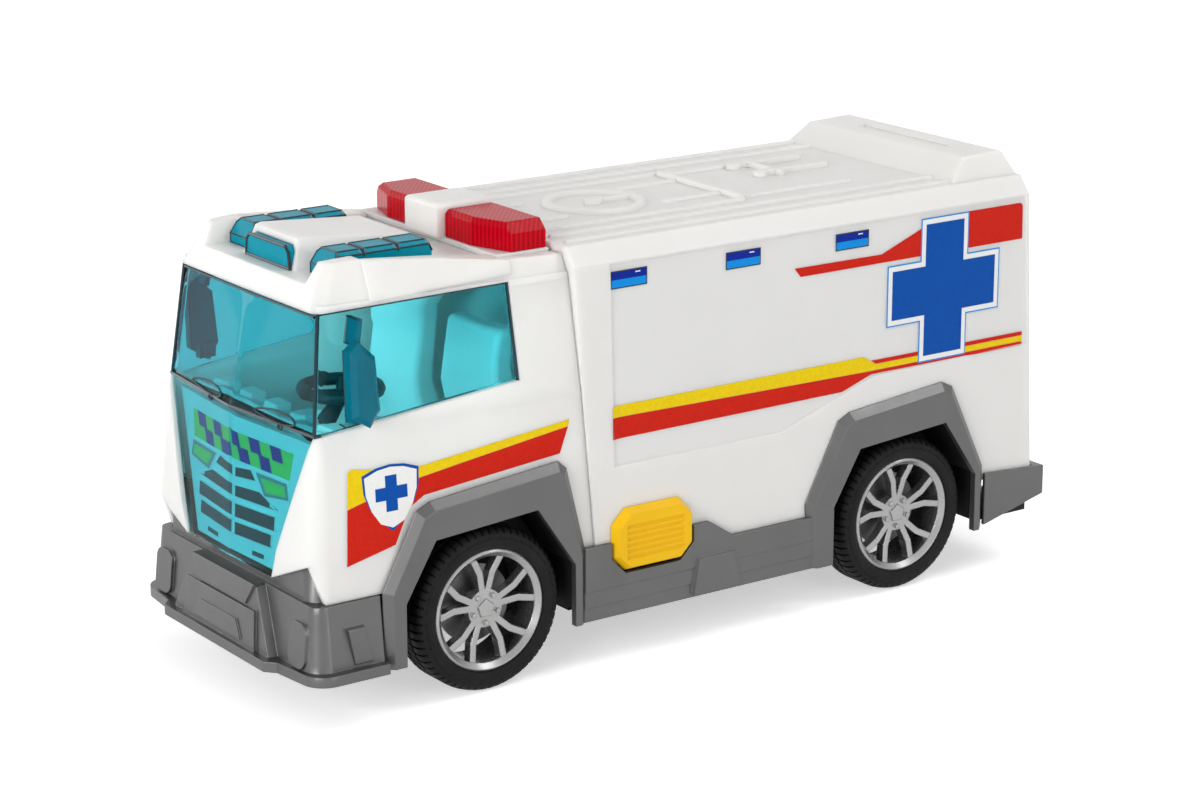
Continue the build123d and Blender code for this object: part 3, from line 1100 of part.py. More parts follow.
# Cab inside: floor on the front liners, dashboard with raised pads, steering wheel and seats
FLOOR_THICKNESS = 2.0
FLOOR_BACK = 9.6            # floor's front edge behind the nose
FLOOR_REAR = -30.5          # from the front axle
FLOOR_GAP = 0.5             # inside the cab's walls
DASH_IN = 9.4               # inside the box's side
DASH_PROFILE = ((10.4, -4.0), (13.0, -1.5), (21.4, -4.5), (23.4, -11.5), (17.4, -17.5))  # behind the nose, up
DASH_PADS = 5
DASH_PAD_LENGTH = 5.0
DASH_PAD_HEIGHT = 1.6
STEER_Y = 18.0
STEER_BACK = 27.4           # behind the nose
STEER_RISE = 2.5            # above the foot of the windscreen
STEER_R = 8.2
STEER_TUBE = 1.3
STEER_SPOKES = 3
STEER_HUB_R = 2.4
STEER_THICKNESS = 2.0
COLUMN_R = 1.6
COLUMN_LENGTH = 9.5
SEAT_Y = 19.0
SEAT_WIDTH = 26.0
# Seat's side view: ahead of the axle, above the floor
SEAT_PROFILE = ((14.0, 0.0), (14.0, 12.5), (-6.0, 11.0), (-11.5, 45.0), (-18.0, 45.0), (-13.5, 0.0))
floor_z = TYRE_R + ARCH_OPENING[3][1] + LINER_GAP + LINER_WALL + FIT_GAP
floor_top = floor_z + FLOOR_THICKNESS
floor_y = SIDE_Y - CAB_SECTIONS[2].corner_in - WALL - FLOOR_GAP
cab_floor_form = slab(ahead(FLOOR_REAR), nose(FLOOR_BACK), floor_y, floor_z, floor_top)
with BuildPart() as cab_floor:
    add(cab_floor_form)
save(cab_floor, "cab_floor")

dash_y = SIDE_Y - DASH_IN
dash_points = tuple((nose(back), BELT_Z + up) for back, up in DASH_PROFILE)
dash_form = side_prism(((nose(DASH_PROFILE[0][0]), floor_top),) + dash_points
                       + ((nose(DASH_PROFILE[-1][0]), floor_top),), -dash_y, dash_y)
pad_pitch = 2 * dash_y / DASH_PADS
with BuildPart() as dashboard:
    add(dash_form)
    with BuildSketch(Plane.XY.offset(BELT_Z + DASH_PROFILE[2][1] - 1)):
        with Locations((nose(DASH_PROFILE[1][0] + DASH_PAD_LENGTH), 0)):
            with GridLocations(DASH_PAD_LENGTH, pad_pitch, 1, DASH_PADS):
                Rectangle(DASH_PAD_LENGTH, pad_pitch / 2)
    extrude(amount=DASH_PAD_HEIGHT + 3)
save(dashboard, "dashboard")

steer_plane = Plane(origin=(nose(STEER_BACK), STEER_Y, BELT_Z + STEER_RISE),
                    x_dir=(0, 1, 0), z_dir=(-0.55, 0, 0.83))
with BuildPart() as steering_wheel:
    with BuildSketch(steer_plane):
        Circle(STEER_R + STEER_TUBE)
        Circle(STEER_R - STEER_TUBE, mode=Mode.SUBTRACT)
        for spoke in range(STEER_SPOKES):
            with Locations(Rotation(0, 0, 360 / STEER_SPOKES * spoke)):
                Rectangle(COLUMN_R, STEER_R, align=(Align.CENTER, Align.MIN))
        Circle(STEER_HUB_R)
    extrude(amount=STEER_THICKNESS)
    with BuildSketch(steer_plane):
        Circle(COLUMN_R)
    extrude(amount=-COLUMN_LENGTH)
    add(dashboard.part, mode=Mode.SUBTRACT)
save(steering_wheel, "steering_wheel")

seat_points = tuple((ahead(forward), floor_top + up) for forward, up in SEAT_PROFILE)
for side, sign in SIDES.items():
    seat_form = side_prism(seat_points, sign * SEAT_Y - SEAT_WIDTH / 2, sign * SEAT_Y + SEAT_WIDTH / 2)
    with BuildPart() as seat:
        add(seat_form)
    save(seat, f"seat_{side}")

# Lamp bars on the cab roof: three segments each with notches between them
LAMP_FRONT = 18.9           # behind the nose
LAMP_LENGTH = 32.5
LAMP_HEIGHT = 6.8
LAMP_SLOPE = 3.0            # front end leans back by this
LAMP_EDGE = 1.2             # bevel along the upper edges
LAMP_SEGMENTS = 3
NOTCH_WIDTH = 1.6
NOTCH_DEPTH = 1.8
lamp_front_x = nose(LAMP_FRONT)
lamp_rear_x = lamp_front_x - LAMP_LENGTH
lamp_top = PAN_Z + LAMP_HEIGHT
lamp_profile = [(lamp_front_x, PAN_Z), (lamp_front_x, PAN_Z + 0.4 * LAMP_HEIGHT),
                (lamp_front_x - LAMP_SLOPE, lamp_top)]
for index in range(1, LAMP_SEGMENTS):
    notch_x = lamp_front_x - LAMP_LENGTH * index / LAMP_SEGMENTS
    lamp_profile += [(notch_x + NOTCH_WIDTH / 2, lamp_top), (notch_x, lamp_top - NOTCH_DEPTH),
                     (notch_x - NOTCH_WIDTH / 2, lamp_top)]
lamp_profile += [(lamp_rear_x + LAMP_SLOPE / 2, lamp_top), (lamp_rear_x, lamp_top - LAMP_SLOPE),
                 (lamp_rear_x, PAN_Z)]
for side, sign in SIDES.items():
    lamp_form = side_prism(lamp_profile, sign * lamp_in_y, sign * lamp_out_y)
    lamp_end = front_prism(((sign * lamp_in_y, PAN_Z), (sign * lamp_in_y, lamp_top - LAMP_EDGE),
                            (sign * (lamp_in_y + LAMP_EDGE), lamp_top),
                            (sign * (lamp_out_y - LAMP_EDGE), lamp_top),
                            (sign * lamp_out_y, lamp_top - LAMP_EDGE), (sign * lamp_out_y, PAN_Z)),
                           lamp_rear_x - 1, lamp_front_x + 1)
    with BuildPart() as roof_lamp:
        add(lamp_form)
        add(lamp_end, mode=Mode.INTERSECT)
    save(roof_lamp, f"roof_lamp_{side}")

# Beacons with a white block between them, on a low step of the cab roof
BLOCK_HEIGHT = 9.6
BLOCK_AHEAD = 2.6           # block ahead of the beacons
for side, sign in SIDES.items():
    beacon_form = plan_prism(
        ((beacon_front_x, sign * BEACON_IN_Y), (beacon_front_x, sign * BEACON_CORNER_Y),
         (beacon_front_x - BEACON_CORNER_BACK, sign * beacon_out_y),
         (beacon_rear_x, sign * beacon_out_y), (beacon_rear_x, sign * BEACON_IN_Y)),
        step_z, step_z + BEACON_HEIGHT)
    outer_bevel = front_prism(
        ((sign * (beacon_out_y - BEACON_SLOPE), step_z + BEACON_HEIGHT),
         (sign * beacon_out_y, step_z + BEACON_HEIGHT - BEACON_SLOPE),
         (sign * (beacon_out_y + 1), step_z + BEACON_HEIGHT + 1)), beacon_rear_x - 1, beacon_front_x + 1)
    with BuildPart() as beacon:
        add(beacon_form)
        upper = beacon.faces().sort_by(Axis.Z)[-1].edges()
        front_edges = upper.filter_by(lambda e: e.center().X > beacon_front_x - BEACON_CORNER_BACK - 0.1)
        chamfer(front_edges, BEACON_EDGE)
        add(outer_bevel, mode=Mode.SUBTRACT)
    save(beacon, f"beacon_{side}")

block_step = slab(beacon_rear_x - STEP_BORDER, beacon_front_x + STEP_BORDER, beacon_out_y + STEP_BORDER,
                  PAN_Z, step_z)
with BuildPart() as beacon_block:
    add(block_step)
    with BuildSketch(Plane.XY.offset(step_z)):
        with Locations(((beacon_front_x + beacon_rear_x + BLOCK_AHEAD) / 2, 0)):
            Rectangle(BEACON_LENGTH + BLOCK_AHEAD, 2 * (BEACON_IN_Y - FIT_GAP))
    extrude(amount=BLOCK_HEIGHT)
    fillet(beacon_block.faces().sort_by(Axis.Z)[-1].edges(), BEACON_EDGE)
save(beacon_block, "beacon_block")

# Mirrors: upright bars that stand off the side glass, each with a foot and a thin arm
MIRROR_IN = 2.6             # inside the box's side
MIRROR_OUT = 2.2            # outside it
# Side views of the mirror's pieces: behind the nose, above the foot of the windscreen
MIRROR_PROFILE = ((13.8, 5.5), (13.4, 23.5), (16.4, 26.1), (21.2, 21.5), (22.6, 6.5), (19.4, 1.9))
MIRROR_FOOT = ((15.4, 3.0), (15.4, 7.0), (20.4, 7.0), (20.4, 3.0))
MIRROR_ARM = ((16.4, 24.4), (17.8, 31.5), (19.0, 31.5), (18.0, 24.4))
MIRROR_EDGE = 1.4
MIRROR_REACH = 9.0          # foot and arm run in to the glass from this far inside the box's side
for side, sign in SIDES.items():
    bar, foot, arm = [
        side_prism([(nose(back), BELT_Z + up) for back, up in profile], sign * y_from, sign * y_to)
        for profile, y_from, y_to in (
            (MIRROR_PROFILE, SIDE_Y - MIRROR_IN, SIDE_Y + MIRROR_OUT),
            (MIRROR_FOOT, SIDE_Y - MIRROR_REACH, SIDE_Y - MIRROR_IN + 1),
            (MIRROR_ARM, SIDE_Y - MIRROR_REACH, SIDE_Y - MIRROR_IN + 1.2),
        )
    ]
    with BuildPart() as side_mirror:
        add(bar)
        chamfer(side_mirror.faces().sort_by(Axis.Y)[-1 if sign > 0 else 0].edges(), MIRROR_EDGE)
        add(foot)
        add(arm)
        add(glass_outer, mode=Mode.SUBTRACT)
    save(side_mirror, f"mirror_{side}")
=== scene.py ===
import json
import math

import bmesh
import bpy
from mathutils import Matrix, Vector
from mathutils.bvhtree import BVHTree


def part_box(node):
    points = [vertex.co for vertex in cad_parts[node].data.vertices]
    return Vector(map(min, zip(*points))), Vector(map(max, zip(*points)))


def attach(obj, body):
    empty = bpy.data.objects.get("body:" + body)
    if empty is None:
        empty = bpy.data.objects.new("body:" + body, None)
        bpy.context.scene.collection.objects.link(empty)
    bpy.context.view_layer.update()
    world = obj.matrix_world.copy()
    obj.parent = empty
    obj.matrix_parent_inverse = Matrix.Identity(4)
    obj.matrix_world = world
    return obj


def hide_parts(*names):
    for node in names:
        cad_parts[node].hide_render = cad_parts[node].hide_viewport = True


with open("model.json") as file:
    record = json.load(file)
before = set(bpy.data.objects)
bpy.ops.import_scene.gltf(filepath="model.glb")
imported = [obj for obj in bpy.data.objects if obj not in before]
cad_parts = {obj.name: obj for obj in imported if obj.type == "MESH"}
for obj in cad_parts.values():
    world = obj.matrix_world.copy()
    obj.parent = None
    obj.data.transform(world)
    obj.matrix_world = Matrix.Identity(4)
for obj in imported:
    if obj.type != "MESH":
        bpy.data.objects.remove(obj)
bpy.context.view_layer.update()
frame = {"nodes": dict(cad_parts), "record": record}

MM = 0.001
NODES = frame["nodes"]
SIDES = {"left": 1, "right": -1}
ENDS = ("front", "rear")


# Places read from the frame, in millimetres
def node_box(node):
    """Lowest and highest corner of a node, in millimetres."""
    low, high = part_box(node)
    return low / MM, high / MM


tyre_low, tyre_high = node_box("tyre_front_left")
rim_low, rim_high = node_box("rim_front_left")
FRONT_AXLE_X = (tyre_low.x + tyre_high.x) / 2
TYRE_R = (tyre_high.z - tyre_low.z) / 2
RIM_R = (rim_high.x - rim_low.x) / 2


def ahead(points):
    """Points given from the front axle, as X and Z in the frame."""
    return [(FRONT_AXLE_X + x, z) for x, z in points]


# Noise scales, per metre: the larger, the finer
PATCHES = 45.0              # colour of a moulding, over centimetres
SMEARS = 160.0              # gloss of a moulding
HAZE = 80.0                 # colour of a clear pane
CLOUDS = 140.0              # colour of thick clear plastic
CLEAR_SMEARS = 300.0        # gloss of clear plastic
CLEAR_WAVES = 260.0         # unevenness of clear plastic
LENS_SMEARS = 200.0         # gloss of a lens
LENS_RIBS = 260.0           # ribs of a lens
INK_DOTS = 900.0            # colour of a print
INK_SMEARS = 120.0          # gloss of a print
INK_GRAIN = 500.0           # unevenness of a print
CLEAR_DEPTH = 3e-6          # of the unevenness of clear plastic, in metres
INK_DEPTH = 4e-6            # of the unevenness of a print, in metres
RIB_DEPTH = 5e-5            # of a lens's ribs, in metres


# Material tools
def new_material(name):
    """A new material with its node tree and its main shader."""
    material = bpy.data.materials.new(name)
    material.use_nodes = True
    tree = material.node_tree
    return material, tree, tree.nodes["Principled BSDF"]


def add_node(tree, kind, **inputs):
    """A new node with the named inputs set."""
    node = tree.nodes.new(kind)
    for key, value in inputs.items():
        node.inputs[key.replace("_", " ")].default_value = value
    return node


def noise(tree, scale, detail=2.0):
    """Noise over the object's own coordinates, which are metres."""
    coords = tree.nodes.new("ShaderNodeTexCoord")
    node = add_node(tree, "ShaderNodeTexNoise", Scale=scale, Detail=detail)
    tree.links.new(coords.outputs["Object"], node.inputs["Vector"])
    return node.outputs["Fac"]


def ramp(tree, value, low, high):
    """Colours from low to high as the value goes from a third to two thirds."""
    node = tree.nodes.new("ShaderNodeValToRGB")
    node.color_ramp.elements[0].position = 0.33
    node.color_ramp.elements[1].position = 0.67
    node.color_ramp.elements[0].color = (*low, 1.0)
    node.color_ramp.elements[1].color = (*high, 1.0)
    tree.links.new(value, node.inputs["Fac"])
    return node.outputs["Color"]


def spread(tree, value, low, high):
    """The value's middle range stretched between two numbers."""
    node = add_node(tree, "ShaderNodeMapRange", From_Min=0.3, From_Max=0.7, To_Min=low, To_Max=high)
    tree.links.new(value, node.inputs["Value"])
    return node.outputs["Result"]


def bump(tree, shader, height, depth, strength=1.0, edge=0.0):
    """Surface grain of this depth in metres, over edges softened by this radius."""
    node = add_node(tree, "ShaderNodeBump", Strength=strength, Distance=depth)
    if edge:
        soft = add_node(tree, "ShaderNodeBevel", Radius=edge)
        tree.links.new(soft.outputs["Normal"], node.inputs["Normal"])
    tree.links.new(height, node.inputs["Height"])
    tree.links.new(node.outputs["Normal"], shader.inputs["Normal"])


def shades(color, change):
    """The colour a little darker and a little lighter."""
    darker = [value * (1 - change) for value in color]
    lighter = [min(1.0, value * (1 + change)) for value in color]
    return darker, lighter


def moulded(name, color, rough, change=0.03, grain=2500.0, depth=4e-6, metallic=0.0, gloss=0.5, edge=0.0):
    """Moulded plastic: colour and gloss vary a little over centimetres, with a fine grain."""
    material, tree, shader = new_material(name)
    tree.links.new(ramp(tree, noise(tree, PATCHES, 4.0), *shades(color, change)), shader.inputs["Base Color"])
    tree.links.new(spread(tree, noise(tree, SMEARS, 3.0), *rough), shader.inputs["Roughness"])
    bump(tree, shader, noise(tree, grain), depth, edge=edge * MM)
    shader.inputs["Metallic"].default_value = metallic
    shader.inputs["Specular IOR Level"].default_value = gloss
    return material


def faces_ahead(tree):
    """0 on faces that look to the side, rising to 1 on those that look ahead or back: the mask of the front
    panes' painted shade.
    """
    coords = tree.nodes.new("ShaderNodeTexCoord")
    axes = tree.nodes.new("ShaderNodeSeparateXYZ")
    either_way = tree.nodes.new("ShaderNodeMath")
    either_way.operation = "ABSOLUTE"
    share = add_node(tree, "ShaderNodeMapRange", From_Min=0.35, From_Max=0.7)
    tree.links.new(coords.outputs["Normal"], axes.inputs["Vector"])
    tree.links.new(axes.outputs["X"], either_way.inputs[0])
    tree.links.new(either_way.outputs["Value"], share.inputs["Value"])
    return share.outputs["Result"]


def tinted(name, color, density, side_tint, front_shaded_tint, rough, change=0.015):
    """Clear tinted plastic: the tint deepens with the way through, and the front panes get a deeper tint as
    painted shade of the dim cab seen through them.
    """
    material, tree, shader = new_material(name)
    panes = tree.nodes.new("ShaderNodeMix")
    panes.data_type = "RGBA"
    # Painted shade: faces that look ahead get the deeper front tint
    tree.links.new(faces_ahead(tree), panes.inputs["Factor"])
    for socket, tint in (("A", side_tint), ("B", front_shaded_tint)):
        tree.links.new(ramp(tree, noise(tree, HAZE), *shades(tint, change)), panes.inputs[socket])
    tree.links.new(panes.outputs["Result"], shader.inputs["Base Color"])
    tree.links.new(spread(tree, noise(tree, CLEAR_SMEARS, 3.0), *rough), shader.inputs["Roughness"])
    bump(tree, shader, noise(tree, CLEAR_WAVES), CLEAR_DEPTH)
    shader.inputs["Transmission Weight"].default_value = 1.0
    # Lower than real clear plastic, so that reflections do not veil the colour
    shader.inputs["IOR"].default_value = 1.2
    absorption = add_node(tree, "ShaderNodeVolumeAbsorption", Color=(*color, 1.0), Density=density)
    tree.links.new(absorption.outputs["Volume"], tree.nodes["Material Output"].inputs["Volume"])
    return material


def tinted_solid(name, color, rough, alpha, gloss, change=0.08):
    """Thick tinted plastic: mostly its own colour, with a little of what lies behind it."""
    material, tree, shader = new_material(name)
    tree.links.new(ramp(tree, noise(tree, CLOUDS, 3.0), *shades(color, change)), shader.inputs["Base Color"])
    tree.links.new(spread(tree, noise(tree, CLEAR_SMEARS, 3.0), *rough), shader.inputs["Roughness"])
    bump(tree, shader, noise(tree, CLEAR_WAVES), CLEAR_DEPTH, edge=0.25 * MM)
    shader.inputs["IOR"].default_value = 1.46
    shader.inputs["Alpha"].default_value = alpha
    shader.inputs["Specular IOR Level"].default_value = gloss
    return material


def ribbed_lens(name, color):
    """Coloured lens with upright ribs; their light and shade is painted into the colour as darker and lighter
    bands.
    """
    material, tree, shader = new_material(name)
    coords = tree.nodes.new("ShaderNodeTexCoord")
    turned = add_node(tree, "ShaderNodeMapping", Rotation=(0.0, 0.0, math.radians(40)))
    ribs = add_node(tree, "ShaderNodeTexWave", Scale=LENS_RIBS, Distortion=0.4)
    tree.links.new(coords.outputs["Object"], turned.inputs["Vector"])
    tree.links.new(turned.outputs["Vector"], ribs.inputs["Vector"])
    # Painted light and shade: the colour goes darker and lighter across the ribs
    tree.links.new(ramp(tree, ribs.outputs["Fac"], *shades(color, 0.22)), shader.inputs["Base Color"])
    tree.links.new(spread(tree, noise(tree, LENS_SMEARS), 0.1, 0.18), shader.inputs["Roughness"])
    bump(tree, shader, ribs.outputs["Fac"], RIB_DEPTH, 0.3)
    shader.inputs["IOR"].default_value = 1.5
    shader.inputs["Specular IOR Level"].default_value = 0.05
    return material


def printed(name, color, change=0.05):
    """Ink on film: a fine dot screen of two shades."""
    material, tree, shader = new_material(name)
    tree.links.new(ramp(tree, noise(tree, INK_DOTS), *shades(color, change)), shader.inputs["Base Color"])
    tree.links.new(spread(tree, noise(tree, INK_SMEARS, 3.0), 0.28, 0.4), shader.inputs["Roughness"])
    bump(tree, shader, noise(tree, INK_GRAIN), INK_DEPTH)
    shader.inputs["Specular IOR Level"].default_value = 0.08
    return material


# Finishes. White plastic also lets a little light travel below its surface
WHITE = moulded("white_plastic", (0.81, 0.795, 0.77), (0.30, 0.42), change=0.012, gloss=0.4, edge=0.7)
WHITE_SHADER = WHITE.node_tree.nodes["Principled BSDF"]
WHITE_SHADER.inputs["Subsurface Weight"].default_value = 0.8
WHITE_SHADER.inputs["Subsurface Radius"].default_value = (1.0, 0.95, 0.9)
WHITE_SHADER.inputs["Subsurface Scale"].default_value = 0.004
# Painted light: the pieces inside the cab and behind the glazing are whiter than the outside white, so that
# the dim inside looks lit
WHITE_INSIDE_LIGHTENED = moulded("white_inside_lightened", (0.92, 0.92, 0.90), (0.40, 0.52), change=0.015, gloss=0.3)
GREY = moulded("grey_plastic", (0.122, 0.122, 0.122), (0.30, 0.38), change=0.05, grain=3800.0, depth=8e-6,
               metallic=0.75, edge=0.45)
BLACK = moulded("black_plastic", (0.008, 0.008, 0.009), (0.45, 0.6), change=0.2, depth=1.2e-5, gloss=0.2)
YELLOW = moulded("yellow_plastic", (0.86, 0.50, 0.008), (0.3, 0.42), change=0.03, gloss=0.15, edge=0.5)
DARK = moulded("dark_grey_plastic", (0.012, 0.03, 0.036), (0.3, 0.45), change=0.12, gloss=0.3)
RIM = moulded("rim_silver", (0.34, 0.34, 0.34), (0.22, 0.32), change=0.06, grain=5200.0, depth=5e-6,
              metallic=0.9, edge=0.5)
DISC = moulded("disc_silver", (0.15, 0.15, 0.15), (0.34, 0.46), change=0.08, metallic=0.7)
STEEL = moulded("axle_steel", (0.55, 0.55, 0.56), (0.2, 0.32), change=0.05, metallic=1.0)
RUBBER = moulded("tyre", (0.007, 0.007, 0.0073), (0.5, 0.65), change=0.25, grain=1900.0, depth=2.5e-5,
                 gloss=0.15)
# The front tint is deeper than the side tint as painted shade of the cab's inside seen through the windscreen
TEAL = tinted("teal_clear", (0.06, 0.83, 0.88), 800.0, (0.96, 0.99, 0.99), (0.36, 0.60, 0.63), (0.01, 0.03))
TEAL_THICK = tinted_solid("teal_clear_thick", (0.001, 0.30, 0.41), (0.08, 0.16), 0.9, 0.04)
TEAL_DARK = tinted_solid("teal_clear_dark", (0.001, 0.14, 0.21), (0.05, 0.1), 0.9, 0.18)
# Painted shade: near-black teal of the bars along the clear pieces' edges
EDGE_SHADE = moulded("painted_edge_shade", (0.001, 0.022, 0.034), (0.1, 0.2), change=0.2, gloss=0.4)
RED_LENS = ribbed_lens("red_clear", (0.48, 0.002, 0.010))
INK_RED = printed("ink_red", (0.58, 0.016, 0.006))
INK_YELLOW = printed("ink_yellow", (0.80, 0.58, 0.006))
INK_BLUE = printed("ink_blue", (0.002, 0.075, 0.37))
INK_SKY = printed("ink_sky", (0.005, 0.26, 0.72))
INK_NAVY = printed("ink_navy", (0.004, 0.02, 0.29))
INK_WHITE = printed("ink_white", (0.82, 0.82, 0.80), change=0.02)
INK_GREEN = printed("ink_green", (0.16, 0.72, 0.13))
INK_SLATE = printed("ink_slate", (0.03, 0.05, 0.06))
INK_GREY = printed("ink_grey", (0.24, 0.30, 0.32))

# Finish of every CAD node, by the start of its name
FINISHES = (
    ("tyre", RUBBER), ("rim", RIM), ("brake_disc", DISC), ("front_axle", STEEL), ("rear_axle", STEEL),
    ("chassis_base", BLACK), ("arch_liner", BLACK), ("battery", BLACK),
    ("front_bumper", GREY), ("rear_bumper", GREY), ("lower_side", GREY),
    ("glazing", TEAL), ("mirror", TEAL_DARK), ("roof_lamp", TEAL_THICK), ("scoop_window", TEAL_THICK),
    ("beacon_left", RED_LENS), ("beacon_right", RED_LENS), ("beacon_block", WHITE),
    ("side_button", YELLOW), ("steering_wheel", DARK), ("grille_backing", WHITE_INSIDE_LIGHTENED),
    ("cab_floor", WHITE_INSIDE_LIGHTENED), ("dashboard", WHITE_INSIDE_LIGHTENED), ("seat", WHITE_INSIDE_LIGHTENED),
    ("cab_shell", WHITE), ("box_shell", WHITE),
)
for node_name, node in NODES.items():
    finish = next(material for start, material in FINISHES if node_name.startswith(start))
    node.data.materials.clear()
    node.data.materials.append(finish)
# The panes cast no shadow, so that the lamps light the inside of the cab
NODES["glazing"].visible_shadow = False

# Rounded edges of the mouldings, by node: width of the rounding in millimetres
WELD_GAP = 2e-6             # corners closer than this are joined, in metres
FLAT = math.radians(0.05)   # faces that turn less than this become one
EDGE_TURN = math.radians(32)    # edges that turn more than this are rounded
ROUNDINGS = {
    "cab_shell": 0.5, "front_bumper": 0.4, "rear_bumper": 0.6,
    "lower_side_left": 0.5, "lower_side_right": 0.5, "side_button": 0.3,
    "beacon_block": 0.3, "beacon_left": 0.35, "beacon_right": 0.35,
    "roof_lamp_left": 0.45, "roof_lamp_right": 0.45, "scoop_window": 0.4,
    "mirror_left": 0.35, "mirror_right": 0.35, "dashboard": 0.7, "seat_left": 2.0, "seat_right": 2.0,
    "cab_floor": 0.4, "grille_backing": 0.12, "glazing": 0.2,
}
for node_name, width in ROUNDINGS.items():
    node = NODES[node_name]
    weld = node.modifiers.new("weld", "WELD")
    weld.merge_threshold = WELD_GAP
    flat = node.modifiers.new("flat_faces", "DECIMATE")
    flat.decimate_type = "DISSOLVE"
    flat.angle_limit = FLAT
    edge = node.modifiers.new("rounded_edges", "BEVEL")
    edge.width = width * MM
    edge.segments = 2
    edge.limit_method = "ANGLE"
    edge.angle_limit = EDGE_TURN
    edge.harden_normals = True


# Mesh tools
def finish_piece(name, mesh, material, body="body"):
    """A new piece from a mesh in metres, on its body."""
    piece = bpy.data.objects.new(name, mesh)
    bpy.context.scene.collection.objects.link(piece)
    mesh.materials.append(material)
    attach(piece, body)
    return piece


trees = {}


def surface_of(node_name):
    """Search tree over a node's faces."""
    if node_name not in trees:
        mesh = NODES[node_name].data
        corners = [vertex.co for vertex in mesh.vertices]
        trees[node_name] = BVHTree.FromPolygons(corners, [polygon.vertices for polygon in mesh.polygons])
    return trees[node_name]


FILM = 0.05 * MM            # height of a printed film above what it lies on
FILM_SINK = 0.4             # how far its underside lies inside that, as a share of the height
CUT_NEAR = 1e-8             # corners closer to a cut than this lie on it, in metres
GRID = 3.0 * MM             # films are cut this fine so that they follow curved faces
SEAM = 0.004 * MM           # distance between the rays that find a surface
FAR = 0.5                   # where the projection starts, in metres from the middle

# Directions that a film is laid from: its normal, and the axes of its outline
FACINGS = {
    "left": (Vector((0, 1, 0)), Vector((1, 0, 0)), Vector((0, 0, 1))),
    "right": (Vector((0, -1, 0)), Vector((1, 0, 0)), Vector((0, 0, 1))),
    "front": (Vector((1, 0, 0)), Vector((0, 1, 0)), Vector((0, 0, 1))),
}


def laid(surface, point, normal):
    """The outermost place on a surface along a direction. Three rays, since one may slip through a seam."""
    places = []
    for shift in (-1, 0, 1):
        start = point + normal * FAR + Vector((1.0, 1.0, 1.0)) * shift * SEAM
        hit = surface.ray_cast(start, -normal)[0]
        if hit:
            places.append(hit)
    outermost = max(places, key=lambda place: place.dot(normal))
    return point + normal * (outermost - point).dot(normal)


def film(name, outline, material, node_name, facing, layer=1):
    """Printed film of an outline in millimetres, laid on a node from one direction."""
    normal, across, up = FACINGS[facing]
    surface = surface_of(node_name)
    mesh_build = bmesh.new()
    corners = [mesh_build.verts.new((across * u + up * v) * MM) for u, v in outline]
    mesh_build.faces.new(corners)
    mesh_build.normal_update()
    bmesh.ops.triangulate(mesh_build, faces=mesh_build.faces[:])
    for axis in (across, up):
        values = [vertex.co.dot(axis) for vertex in mesh_build.verts]
        first = math.floor(min(values) / GRID) + 1
        last = math.ceil(max(values) / GRID)
        for step in range(first, last):
            geometry = mesh_build.verts[:] + mesh_build.edges[:] + mesh_build.faces[:]
            bmesh.ops.bisect_plane(
                mesh_build, geom=geometry, plane_co=axis * step * GRID, plane_no=axis, dist=CUT_NEAR)
    for vertex in mesh_build.verts:
        vertex.co = laid(surface, vertex.co, normal) + normal * FILM * layer
    bmesh.ops.recalc_face_normals(mesh_build, faces=mesh_build.faces[:])
    if mesh_build.faces[0].normal.dot(normal) < 0:
        bmesh.ops.reverse_faces(mesh_build, faces=mesh_build.faces[:])
    under = bmesh.ops.extrude_face_region(mesh_build, geom=mesh_build.faces[:])["geom"]
    for item in under:
        if isinstance(item, bmesh.types.BMVert):
            item.co -= normal * FILM * (layer + FILM_SINK)
    bmesh.ops.recalc_face_normals(mesh_build, faces=mesh_build.faces[:])
    mesh = bpy.data.meshes.new(name)
    mesh_build.to_mesh(mesh)
    mesh_build.free()
    return finish_piece(name, mesh, material)


def both(name, points, material, node_name, layer=1):
    """The same film on the left and the right side."""
    for side in SIDES:
        film(f"{name}_{side}", ahead(points), material, node_name, side, layer)


def rectangle(x, z, width, height):
    """Outline of a rectangle round its middle."""
    return [(x - width / 2, z - height / 2), (x + width / 2, z - height / 2),
            (x + width / 2, z + height / 2), (x - width / 2, z + height / 2)]


def plus_sign(x, z, half, arm, grow=0.0):
    """Outline of a plain plus sign."""
    reach = half + grow
    thick = arm / 2 + grow
    return [(x + a, z + b) for a, b in (
        (-thick, -reach), (thick, -reach), (thick, -thick), (reach, -thick), (reach, thick),
        (thick, thick), (thick, reach), (-thick, reach), (-thick, thick), (-reach, thick),
        (-reach, -thick), (-thick, -thick))]


def arc(x, z, radius, start, end, steps=6):
    """Points of an arc, angles in degrees."""
    angles = [math.radians(start + (end - start) * step / steps) for step in range(steps + 1)]
    return [(x + radius * math.cos(angle), z + radius * math.sin(angle)) for angle in angles]


